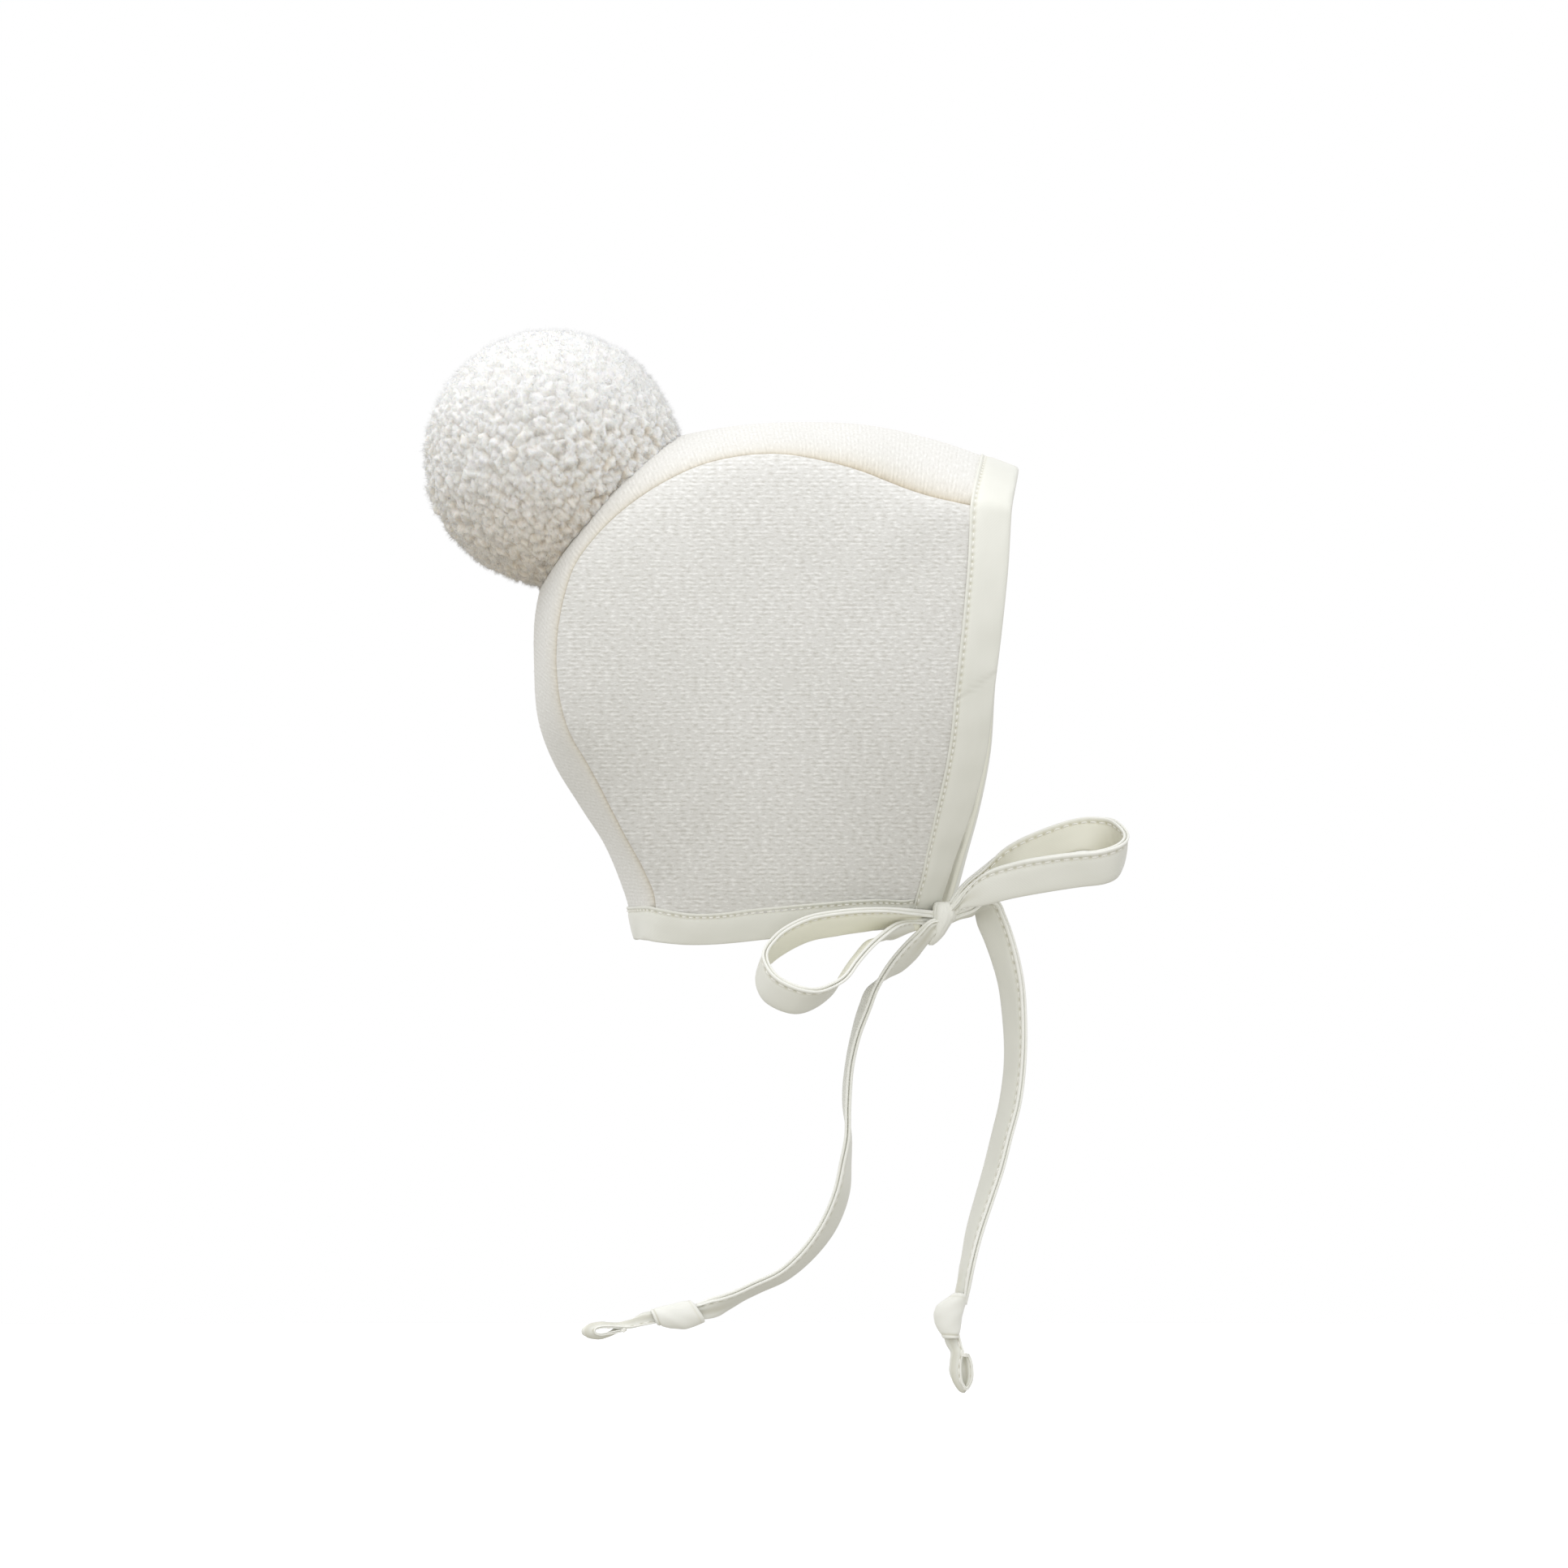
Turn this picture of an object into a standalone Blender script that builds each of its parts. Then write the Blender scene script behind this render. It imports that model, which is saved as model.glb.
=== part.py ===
"""Baby bonnet: a wool hood of two side panels and a centre strip, bound and tied with sateen tape, with a yarn
pompom on the back of the crown. Metres, +Z up. The face opening looks along +X. The origin lies on the middle
plane, on the inside of the crown, where the bonnet sits on a head."""

import math

import bmesh
import bpy
import numpy as np

# Hood, measured on the inside of the wool
HOOD_DEPTH = 0.1456
HOOD_HEIGHT = 0.1563
HEAD_WIDTH = 0.118
CROWN_AHEAD = 0.572
WOOL = 0.0024
CLEARANCE = 0.0003
PANEL_ROUNDNESS = 2.3
STRIP_ROUNDNESS = 2.1
CORNER_SPREAD = 30
CORNER_SHARPNESS = 8

# Steps of the smooth lines, and of the faceted wool
FINE_STEPS = 400
SKIN_STEP = 0.0005
SEAM_STEPS = 25
NECK_STEPS = 15
FACE_STEPS = 15
PANEL_RINGS = (0.20, 0.45, 0.67, 0.84, 0.94, 1.0)
STRIP_STEPS = 34
STRIP_COLUMNS = 9

# Binding tape, folded over the edge of the wool
FACE_BAND = 0.012
NECK_BAND = 0.010
NECK_STOP = 0.0132
BINDING_SKIN = 0.0006
BINDING_ROLL = 0.0010
BINDING_CLEARANCE = 0.0005
BINDING_STEPS = 14
END_CROWDING = 0.7
TURN_ANGLES = (45, 90, 135)

# Tie tape
TAPE_WIDTH = 0.0112
TAPE_THICKNESS = 0.0018
BACK_LOOP_REACH = 0.0545
FRONT_LOOP_REACH = 0.057
BACK_TAIL_DROP = 0.118
FRONT_TAIL_DROP = 0.116
TAPE_STEPS = 34
LEAD_STEPS = 9

# Knot, ahead of the near chin corner
KNOT_WIDTH = 0.0086
KNOT_HEIGHT = 0.0138
KNOT_DEPTH = 0.0095
KNOT_TILT = math.radians(-24)
KNOT_AHEAD = 0.0048
KNOT_OUT = 0.0102
KNOT_BELOW = 0.0007
KNOT_FLARE = 0.16

# Cuffs and folded ends of the tails
CUFF_LENGTH = 0.0132
CUFF_WIDTH = 0.0088
CUFF_SKIN = 0.0006
CUFF_SIDES = 12
TIP_LENGTH = 0.0225
TIP_THICKNESS = 0.0009
TIP_STEPS = 22

# Pompom
POMPOM_RADIUS = 0.0395
POMPOM_STAND = 0.0162
POMPOM_PLACE = 0.476
LOCK_COUNT = 100
LOCK_POINTS = 12
LOCK_RISE = 0.0026
POMPOM_SEAT = (0.10, 0.75)

# Middle line of the centre strip, from the forehead to the nape: depth, height
MIDDLE_LINE = (
    (1.000, 0.906),
    (0.839, 0.964),
    (0.676, 0.995),
    (0.589, 1.000),
    (0.477, 0.998),
    (0.382, 0.987),
    (0.245, 0.957),
    (0.155, 0.907),
    (0.087, 0.820),
    (0.035, 0.737),
    (0.007, 0.645),
    (0.000, 0.536),
    (0.008, 0.426),
    (0.038, 0.342),
    (0.091, 0.257),
    (0.146, 0.183),
    (0.188, 0.097),
    (0.217, 0.003),
)

# Seam between the strip and a side panel, from the face opening to the nape: depth, height, half-width
SEAM_LINE = (
    (0.984, 0.829, 0.71),
    (0.806, 0.864, 0.71),
    (0.638, 0.920, 0.71),
    (0.480, 0.943, 0.71),
    (0.336, 0.920, 0.70),
    (0.261, 0.887, 0.69),
    (0.125, 0.786, 0.67),
    (0.080, 0.729, 0.66),
    (0.057, 0.665, 0.65),
    (0.042, 0.539, 0.62),
    (0.070, 0.406, 0.58),
    (0.106, 0.347, 0.56),
    (0.181, 0.212, 0.51),
    (0.224, 0.139, 0.48),
    (0.246, 0.090, 0.47),
    (0.253, 0.001, 0.46),
)

# Edge of a side panel at the face, from the seam to the chin corner: depth, height, half-width, and how far the
# far side lies ahead of the near side
FACE_LINE = (
    (0.984, 0.829, 0.71, 0.000),
    (0.977, 0.730, 0.79, 0.000),
    (0.963, 0.610, 0.84, 0.004),
    (0.946, 0.490, 0.83, 0.009),
    (0.931, 0.375, 0.76, 0.015),
    (0.900, 0.260, 0.63, 0.021),
    (0.857, 0.150, 0.45, 0.029),
    (0.816, 0.035, 0.25, 0.033),
)

# Edge of a side panel at the neck, from the nape to the chin corner: the same columns
NECK_LINE = (
    (0.253, 0.001, 0.46, 0.000),
    (0.320, -0.003, 0.53, 0.000),
    (0.395, 0.000, 0.60, 0.000),
    (0.468, 0.008, 0.66, 0.003),
    (0.572, 0.016, 0.67, 0.009),
    (0.675, 0.024, 0.58, 0.017),
    (0.760, 0.030, 0.41, 0.027),
    (0.816, 0.035, 0.25, 0.033),
)

# The point of a side panel that stands out most: depth, height
PANEL_MIDDLE = (0.52, 0.50)

# Tapes of the bow, as sections along the stitched edge. Measured from the knot: ahead, towards the near side and
# up, as shares of the tape's reach. Then the way from that edge to the folded edge, seen from the near side in
# degrees, the share of the width seen from there, and the width as a share of the tape's.
BACK_LOOP = (
    (-0.01, 0.020, 0.042, -90, 0.20, 0.28),
    (-0.07, 0.045, 0.050, -90, 0.20, 0.34),
    (-0.18, 0.215, 0.064, -92, 0.26, 0.58),
    (-0.35, 0.405, 0.080, -97, 0.58, 0.93),
    (-0.57, 0.505, 0.069, -94, 0.66, 1.00),
    (-0.78, 0.550, 0.028, -92, 0.68, 1.00),
    (-0.94, 0.590, -0.069, -100, 0.75, 1.00),
    (-1.00, 0.640, -0.161, -108, 0.75, 1.00),
    (-0.96, 0.700, -0.266, -108, 0.82, 1.00),
    (-0.84, 0.745, -0.343, -95, 0.78, 1.00),
    (-0.70, 0.730, -0.367, -95, 0.46, 1.00),
    (-0.56, 0.650, -0.307, -80, 0.15, 1.00),
    (-0.41, 0.500, -0.128, 140, 0.20, 0.95),
    (-0.33, 0.400, -0.055, 160, 0.10, 0.80),
    (-0.23, 0.240, 0.006, -90, 0.15, 0.55),
    (-0.15, 0.110, 0.012, -90, 0.10, 0.40),
    (-0.07, 0.030, 0.003, -90, 0.10, 0.28),
    (-0.01, 0.015, -0.004, -90, 0.10, 0.24),
)
FRONT_LOOP = (
    (0.02, -0.020, 0.070, -80, 0.85, 0.28),
    (0.06, -0.030, 0.140, -80, 0.92, 0.28),
    (0.12, -0.060, 0.214, -75, 0.92, 0.42),
    (0.20, -0.105, 0.281, -75, 0.90, 0.75),
    (0.33, -0.140, 0.395, -80, 0.90, 1.00),
    (0.53, -0.175, 0.496, -85, 0.90, 1.00),
    (0.81, -0.175, 0.566, -90, 0.90, 1.00),
    (0.90, -0.140, 0.561, -90, 0.88, 1.00),
    (0.96, -0.070, 0.530, -90, 0.82, 1.00),
    (1.00, 0.020, 0.482, -90, 0.75, 1.00),
    (0.99, 0.105, 0.447, -88, 0.80, 1.00),
    (0.94, 0.175, 0.417, -85, 0.90, 1.00),
    (0.84, 0.210, 0.390, -82, 0.93, 1.00),
    (0.71, 0.210, 0.377, -82, 0.95, 1.00),
    (0.57, 0.195, 0.360, -82, 0.97, 1.00),
    (0.38, 0.160, 0.325, -90, 0.98, 1.00),
    (0.22, 0.125, 0.268, -100, 0.98, 0.95),
    (0.16, 0.105, 0.219, -108, 0.95, 0.78),
    (0.10, 0.085, 0.154, -105, 0.90, 0.50),
    (0.07, 0.070, 0.114, -95, 0.80, 0.34),
    (0.02, 0.035, 0.060, -90, 0.70, 0.30),
)
BACK_TAIL = (
    (-0.004, 0.028, 0.010, -80, 0.80, 0.30),
    (-0.030, 0.037, 0.006, -70, 0.85, 0.36),
    (-0.068, 0.041, -0.028, -48, 0.60, 0.60),
    (-0.106, 0.043, -0.066, -43, 0.50, 0.90),
    (-0.133, 0.045, -0.099, -50, 0.38, 1.00),
    (-0.154, 0.045, -0.132, -60, 0.14, 1.00),
    (-0.176, 0.045, -0.174, 175, 0.20, 1.00),
    (-0.193, 0.042, -0.220, 175, 0.24, 1.00),
    (-0.220, 0.040, -0.290, 175, 0.16, 1.00),
    (-0.238, 0.036, -0.365, 178, 0.12, 1.00),
    (-0.247, 0.033, -0.475, 178, 0.10, 1.00),
    (-0.250, 0.030, -0.559, 0, 0.08, 1.00),
    (-0.263, 0.028, -0.623, -5, 0.22, 1.00),
    (-0.277, 0.026, -0.686, -12, 0.36, 1.00),
    (-0.311, 0.022, -0.771, -25, 0.42, 1.00),
    (-0.370, 0.018, -0.856, -42, 0.42, 1.00),
    (-0.424, 0.014, -0.907, -55, 0.40, 1.00),
    (-0.492, 0.010, -0.941, -66, 0.40, 1.00),
    (-0.551, 0.012, -0.960, -70, 0.50, 0.92),
    (-0.602, 0.012, -0.978, -76, 0.74, 0.64),
    (-0.645, 0.010, -0.993, -78, 0.94, 0.41),
    (-0.672, 0.008, -0.999, -78, 0.96, 0.38),
)
FRONT_TAIL = (
    (0.012, -0.008, 0.008, -90, 0.10, 0.24),
    (0.036, -0.014, 0.012, -90, 0.10, 0.32),
    (0.080, -0.030, 0.026, -110, 0.30, 0.60),
    (0.121, -0.050, 0.041, -148, 0.50, 0.90),
    (0.155, -0.062, 0.039, -153, 0.72, 1.00),
    (0.179, -0.066, 0.009, -164, 0.82, 1.00),
    (0.194, -0.066, -0.034, -171, 0.84, 1.00),
    (0.209, -0.064, -0.095, -176, 0.80, 1.00),
    (0.220, -0.062, -0.160, -179, 0.74, 1.00),
    (0.225, -0.060, -0.246, 180, 0.68, 1.00),
    (0.224, -0.056, -0.353, 180, 0.60, 1.00),
    (0.209, -0.050, -0.483, 175, 0.60, 1.00),
    (0.187, -0.046, -0.569, 170, 0.57, 1.00),
    (0.164, -0.042, -0.655, 168, 0.57, 1.00),
    (0.136, -0.036, -0.741, 166, 0.52, 1.00),
    (0.108, -0.030, -0.828, 166, 0.45, 1.00),
    (0.080, -0.026, -0.914, 166, 0.40, 0.95),
    (0.068, -0.034, -0.962, 174, 0.90, 0.50),
    (0.062, -0.038, -0.985, 176, 0.96, 0.38),
    (0.057, -0.038, -1.010, 176, 0.97, 0.36),
)

# Tapes from the chin corners to the knot: share of the way, then ahead and up of the straight line, and the
# width, as shares of the tape's width
NEAR_LEAD = (
    (0.00, 0.06, 0.00, 0.60),
    (0.45, 0.12, -0.14, 0.46),
    (1.00, 0.00, -0.12, 0.30),
)
FAR_LEAD = (
    (0.00, 0.06, 0.00, 0.70),
    (0.30, 0.16, -0.16, 0.72),
    (0.65, 0.20, -0.24, 0.62),
    (1.00, 0.16, -0.22, 0.34),
)

# Cuff sections from its mouth to its hem: share of its length, half-width and half-depth as shares of its width
CUFF_SECTIONS = (
    (0.00, 0.41, 0.42),
    (0.18, 0.48, 0.46),
    (0.45, 0.50, 0.44),
    (0.78, 0.41, 0.36),
    (1.00, 0.36, 0.32),
)

# Mouth of each cuff from the knot, as shares of the tail's drop, and the way to its hem seen from the near side
BACK_CUFF = (-0.640, 0.004, -1.012)
BACK_CUFF_AIM = math.radians(-172)
FRONT_CUFF = (0.046, -0.042, -0.985)
FRONT_CUFF_AIM = math.radians(-103)

# Folded ends of the tails from the hem of the cuff: the columns of the bow's tapes, as shares of the end's length
BACK_TIP = (
    (0.078, 0.010, -0.066, 90, 0.97, 0.28),
    (-0.167, 0.040, -0.122, 90, 0.85, 0.36),
    (-0.389, 0.060, -0.178, 90, 0.35, 0.34),
    (-0.589, 0.060, -0.233, -150, 0.20, 0.38),
    (-0.744, 0.060, -0.250, -160, 0.30, 0.42),
    (-0.822, 0.060, -0.189, 175, 0.50, 0.44),
    (-0.778, 0.060, -0.111, 165, 0.40, 0.42),
    (-0.611, 0.060, -0.089, 150, 0.15, 0.38),
    (-0.440, 0.060, -0.110, 150, 0.10, 0.34),
)
FRONT_TIP = (
    (0.062, 0.000, 0.050, 180, 0.98, 0.26),
    (0.150, 0.020, -0.133, 180, 0.92, 0.38),
    (0.189, 0.060, -0.256, 180, 0.50, 0.38),
    (0.156, 0.060, -0.367, 180, 0.45, 0.42),
    (0.145, 0.060, -0.522, 180, 0.42, 0.44),
    (0.165, 0.060, -0.656, -160, 0.30, 0.42),
    (0.211, 0.060, -0.728, -100, 0.15, 0.40),
    (0.256, 0.060, -0.644, 0, 0.10, 0.40),
    (0.267, 0.060, -0.500, 0, 0.15, 0.40),
    (0.244, 0.060, -0.350, 0, 0.15, 0.36),
)


def smooth_rows(rows, count):
    """Even steps along a smooth curve through the rows, whose first three columns are a place."""
    rows = np.array(rows, float)
    chords = np.linalg.norm(np.diff(rows[:, :3], axis=0), axis=1)
    knots = np.concatenate(([0.0], np.cumsum(chords)))
    slopes = np.gradient(rows, knots, axis=0)
    fine = np.linspace(0.0, knots[-1], FINE_STEPS)
    left = np.clip(np.searchsorted(knots, fine, side="right") - 1, 0, len(rows) - 2)
    step = (knots[left + 1] - knots[left])[:, None]
    share = (fine - knots[left])[:, None] / step
    path = (
        rows[left] * (2 * share**3 - 3 * share**2 + 1)
        + rows[left + 1] * (3 * share**2 - 2 * share**3)
        + slopes[left] * step * (share**3 - 2 * share**2 + share)
        + slopes[left + 1] * step * (share**3 - share**2)
    )
    length = np.concatenate(([0.0], np.cumsum(np.linalg.norm(np.diff(path[:, :3], axis=0), axis=1))))
    even = np.linspace(0.0, length[-1], count)
    return np.stack([np.interp(even, length, column) for column in path.T], axis=1)


def unit(vectors):
    return vectors / np.linalg.norm(vectors, axis=-1, keepdims=True)


def hood_places(rows, side):
    """Rows of depth, height, half-width and lead as places on one side of the hood."""
    rows = np.array(rows, float)
    if rows.shape[1] < 4:
        rows = np.hstack([rows, np.zeros((len(rows), 4 - rows.shape[1]))])
    lead = rows[:, 3] if side > 0 else 0.0
    ahead = (rows[:, 0] + lead - CROWN_AHEAD) * HOOD_DEPTH
    return np.stack([ahead, side * rows[:, 2] * HEAD_WIDTH / 2, (rows[:, 1] - 1) * HOOD_HEIGHT], axis=1)


def hood_line(rows, side, count):
    return smooth_rows(hood_places(rows, side), count)


class SidePanel:
    """The inside of one side panel: a dome over the closed line of its seam, neck and face edges."""

    def __init__(self, side):
        self.side = side
        seam = hood_line(SEAM_LINE, side, SEAM_STEPS)
        neck = hood_line(NECK_LINE, side, NECK_STEPS)
        face = hood_line(FACE_LINE, side, FACE_STEPS)
        self.outline = np.vstack([seam, neck[1:], face[::-1][1:-1]])
        middle = hood_places([(PANEL_MIDDLE[0], PANEL_MIDDLE[1], 1.0)], side)[0]
        self.middle = middle[[0, 2]]
        fine = np.vstack([
            hood_line(SEAM_LINE, side, FINE_STEPS),
            hood_line(NECK_LINE, side, FINE_STEPS)[1:],
            hood_line(FACE_LINE, side, FINE_STEPS)[::-1][1:-1],
        ])
        arms = fine[:, [0, 2]] - self.middle
        bearing = np.arctan2(arms[:, 1], arms[:, 0])
        order = np.argsort(bearing)
        self.bearing = bearing[order]
        self.arm = np.linalg.norm(arms, axis=1)[order]
        self.rim = np.abs(fine[:, 1])[order]
        self.turns = np.radians(np.arange(-180, 180))
        self.soft_arm = self.around(self.arm)
        self.soft_rim = self.around(self.rim)

    def around(self, values):
        """The values round the panel, with the corners of its outline evened out."""
        even = np.interp(self.turns, self.bearing, values, period=math.tau)
        spread = np.arange(-CORNER_SPREAD, CORNER_SPREAD + 1)
        weights = np.cos(spread / CORNER_SPREAD * math.pi / 2) ** 2
        wrapped = np.concatenate([even[-CORNER_SPREAD:], even, even[:CORNER_SPREAD]])
        return np.convolve(wrapped, weights / weights.sum(), mode="valid")

    def dome(self, flat):
        """Places on the skin above points of the middle plane."""
        arms = np.asarray(flat) - self.middle
        bearing = np.arctan2(arms[..., 1], arms[..., 0])
        reach = np.linalg.norm(arms, axis=-1)
        half = HEAD_WIDTH / 2
        share = reach / np.interp(bearing, self.bearing, self.arm, period=math.tau)
        rim = np.interp(bearing, self.bearing, self.rim, period=math.tau)
        soft_share = reach / np.interp(bearing, self.turns, self.soft_arm, period=math.tau)
        soft_rim = np.interp(bearing, self.turns, self.soft_rim, period=math.tau)
        width = half + (rim - half) * share**PANEL_ROUNDNESS
        soft_width = half + (soft_rim - half) * soft_share**PANEL_ROUNDNESS
        sharp = np.clip(share, 0, 1) ** CORNER_SHARPNESS
        width = soft_width * (1 - sharp) + width * sharp
        return np.stack([flat[..., 0], self.side * width, flat[..., 1]], axis=-1)

    def outward(self, flat):
        """Directions square to the skin, away from the head."""
        along = self.dome(flat + [SKIN_STEP, 0]) - self.dome(flat - [SKIN_STEP, 0])
        upward = self.dome(flat + [0, SKIN_STEP]) - self.dome(flat - [0, SKIN_STEP])
        return unit(np.cross(along, upward)) * -self.side

    def inset(self, edge, ways, reach):
        """Points of the middle plane that lie a reach along the skin from the edge."""
        slope = (self.dome(edge + ways * SKIN_STEP) - self.dome(edge))[:, 1] / SKIN_STEP
        return edge + ways * reach / np.sqrt(1 + slope**2)[:, None]


class CentreStrip:
    """The inside of the centre strip, over its length from the forehead to the nape and its width."""

    def __init__(self):
        self.middle = hood_line([(depth, height, 0.0) for depth, height in MIDDLE_LINE], 1, FINE_STEPS)
        self.seam = hood_line(SEAM_LINE, 1, FINE_STEPS)

    def place(self, along, across):
        """Places at a share of the strip's length and, from -1 at the near seam to 1, of its width."""
        steps = np.linspace(0, 1, FINE_STEPS)
        middle = np.stack([np.interp(along, steps, column) for column in self.middle.T], axis=-1)
        seam = np.stack([np.interp(along, steps, column) for column in self.seam.T], axis=-1)
        bow = np.abs(across)[..., None] ** STRIP_ROUNDNESS
        place = middle + (seam - middle) * bow
        place[..., 1] = across * seam[..., 1]
        return place

    def outward(self, along, across):
        """Directions square to the skin, away from the head."""
        step = 1 / FINE_STEPS
        length = self.place(np.clip(along + step, 0, 1), across) - self.place(np.clip(along - step, 0, 1), across)
        width = self.place(along, across + step) - self.place(along, across - step)
        return unit(np.cross(width, length))

    def inset(self, across, reach, from_end):
        """Shares of the length that lie a reach along the skin from the face edge or from the neck edge."""
        shares = np.linspace(0, 1, FINE_STEPS)
        if from_end:
            shares = 1 - shares
        found = []
        for share_across in across:
            line = self.place(shares, np.full(shares.shape, share_across))
            steps = np.linalg.norm(np.diff(line, axis=0), axis=1)
            found.append(np.interp(reach, np.concatenate(([0.0], np.cumsum(steps))), shares))
        return np.array(found)


def new_material(name, colour, roughness):
    material = bpy.data.materials.new(name)
    material.use_nodes = True
    shader = material.node_tree.nodes["Principled BSDF"]
    shader.inputs["Base Color"].default_value = (*colour, 1.0)
    shader.inputs["Roughness"].default_value = roughness
    shader.inputs["Metallic"].default_value = 0.0
    return material


def add_object(name, mesh, collection, material=None):
    item = bpy.data.objects.new(name, mesh)
    collection.objects.link(item)
    if material:
        mesh.materials.append(material)
    return item


def sheet_mesh(name, grid, facing=None, wrap=False, hub=None, mirrored=False):
    """An open surface over a grid of places. Its first face looks along facing. It wraps round on its columns,
    and a hub closes its first row. The diagonals of a mirrored grid lean alike on both halves."""
    rows, columns = grid.shape[:2]
    vertices = [tuple(place) for place in grid.reshape(-1, 3)]
    last = columns if wrap else columns - 1
    faces = []
    for row in range(rows - 1):
        for column in range(last):
            after = (column + 1) % columns
            face = (
                row * columns + column,
                row * columns + after,
                (row + 1) * columns + after,
                (row + 1) * columns + column,
            )
            if mirrored and row < rows // 2:
                face = face[1:] + face[:1]
            faces.append(face)
    if hub is not None:
        vertices.append(tuple(hub))
        faces += [(len(vertices) - 1, (column + 1) % columns, column) for column in range(last)]
    if facing is not None:
        first = np.cross(grid[0, 1] - grid[0, 0], grid[1, 1] - grid[0, 0])
        if np.dot(first, facing) < 0:
            faces = [face[::-1] for face in faces]
    mesh = bpy.data.meshes.new(name)
    mesh.from_pydata(vertices, [], faces)
    mesh.update()
    mesh.shade_smooth()
    return mesh


def thicken(item, wall, offset):
    solidify = item.modifiers.new("Wall", "SOLIDIFY")
    solidify.thickness = wall
    solidify.offset = offset
    return solidify


def cut(item, cutter):
    boolean = item.modifiers.new("Cut", "BOOLEAN")
    boolean.operation = "DIFFERENCE"
    boolean.object = cutter


def add_side_panel(name, panel, collection, material):
    arms = panel.outline[:, [0, 2]] - panel.middle
    trim = np.zeros(len(arms))
    trim[:SEAM_STEPS] = CLEARANCE / 2
    edge = panel.middle + arms * (1 - trim / np.linalg.norm(arms, axis=1))[:, None]
    grid = np.stack([panel.dome(panel.middle + (edge - panel.middle) * ring) for ring in PANEL_RINGS])
    hub = panel.dome(panel.middle)
    mesh = sheet_mesh(name, grid, (0, panel.side, 0), wrap=True, hub=hub)
    item = add_object(name, mesh, collection, material)
    thicken(item, WOOL, 1.0)
    return item


def add_centre_strip(name, strip, collection, material):
    along = np.linspace(0, 1, STRIP_STEPS)
    grid = []
    for share in along:
        half_width = strip.place(np.array(share), np.array(1.0))[1]
        across = np.linspace(-1, 1, STRIP_COLUMNS) * (1 - CLEARANCE / 2 / half_width)
        grid.append(strip.place(np.full(across.shape, share), across))
    mesh = sheet_mesh(name, np.stack(grid), strip.outward(np.array(0.0), np.array(-1.0)))
    item = add_object(name, mesh, collection, material)
    thicken(item, WOOL, 1.0)
    return item


def end_way(rows, side, run, from_end):
    """The way along a line of the hood from its first or its last point, over a run."""
    line = hood_line(rows, side, FINE_STEPS)
    if from_end:
        line = line[::-1]
    reach = np.linalg.norm(line - line[0], axis=1)
    return unit(line[np.argmax(reach > run)] - line[0])


def panel_edge(panel, rows, band):
    """Edge points of a panel in the middle plane and the ways in from them. The ways turn along the seam at the
    first point, and along the other edge at the chin corner."""
    edge = hood_line(rows, panel.side, FINE_STEPS)[:, [0, 2]]
    tangent = unit(np.gradient(edge, axis=0))
    ways = np.stack([-tangent[:, 1], tangent[:, 0]], axis=1)
    ways *= np.sign(np.sum(ways * (panel.middle - edge), axis=1))[:, None]
    at_neck = rows is NECK_LINE
    seam_way = end_way(SEAM_LINE, panel.side, band, at_neck)[[0, 2]]
    chin_way = end_way(FACE_LINE if at_neck else NECK_LINE, panel.side, band, True)[[0, 2]]
    for corner, way in ((edge[0], seam_way), (edge[-1], chin_way)):
        nearness = np.clip(1 - np.linalg.norm(edge - corner, axis=1) / band, 0, 1)[:, None]
        ways = unit(ways * (1 - nearness) + unit(way) * nearness)
    stretch = 1 / np.abs(ways[:, 0] * tangent[:, 1] - ways[:, 1] * tangent[:, 0])
    return edge, ways, stretch


def binding_stations(panels, strip, rows, band, stop, reaches):
    """Places on the inside of the wool at each reach in from an edge, from the near corner to the far one, and
    the directions square to the wool there. The tape stops that far from the chin corners."""
    across = np.linspace(-1, 1, STRIP_COLUMNS)
    steps = np.linspace(0, 1, BINDING_STEPS + 1)
    steps -= END_CROWDING * np.sin(math.tau * steps) / math.tau
    places = []
    normals = []
    for reach in reaches:
        sides = []
        for panel in panels:
            line = hood_line(rows, panel.side, FINE_STEPS)
            length = np.linalg.norm(np.diff(line, axis=0), axis=1).sum()
            picks = (steps * (1 - stop / length) * (FINE_STEPS - 1)).round().astype(int)
            edge, ways, stretch = (values[picks] for values in panel_edge(panel, rows, band))
            flat = panel.inset(edge, ways * stretch[:, None], reach)
            sides.append((panel.dome(flat), panel.outward(flat)))
        (near_place, near_out), (far_place, far_out) = sides
        along = strip.inset(across, reach, rows is NECK_LINE)
        middle_place = strip.place(along, across)
        middle_out = strip.outward(along, across)
        for end, out in ((0, near_out), (-1, far_out)):
            joined = out[0] + middle_out[end]
            middle_out[end] = joined / (1 + np.dot(out[0], middle_out[end]))
        places.append(np.vstack([near_place[:0:-1], middle_place, far_place[1:]]))
        normals.append(np.vstack([near_out[:0:-1], middle_out, far_out[1:]]))
    return np.array(places), np.array(normals)


def add_binding(name, panels, strip, rows, band, stop, collection, material):
    reaches = np.array([band, band / 2, 0.0])
    places, normals = binding_stations(panels, strip, rows, band, stop, reaches)
    edge = places[-1]
    inward = unit(places[-2] - edge)
    half = WOOL / 2 + BINDING_CLEARANCE
    outside = [places[i] + normals[i] * (WOOL + BINDING_CLEARANCE) for i in range(3)]
    inside = [places[i] - normals[i] * BINDING_CLEARANCE for i in (2, 1, 0)]
    turn = []
    for angle in np.radians(TURN_ANGLES):
        lift = WOOL / 2 + half * math.cos(angle)
        turn.append(edge + normals[-1] * lift - inward * (BINDING_ROLL * math.sin(angle)))
    grid = np.stack(outside + turn + inside, axis=1)
    mesh = sheet_mesh(name, grid, normals[0][0], mirrored=True)
    item = add_object(name, mesh, collection, material)
    thicken(item, BINDING_SKIN, 1.0)
    return item


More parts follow.
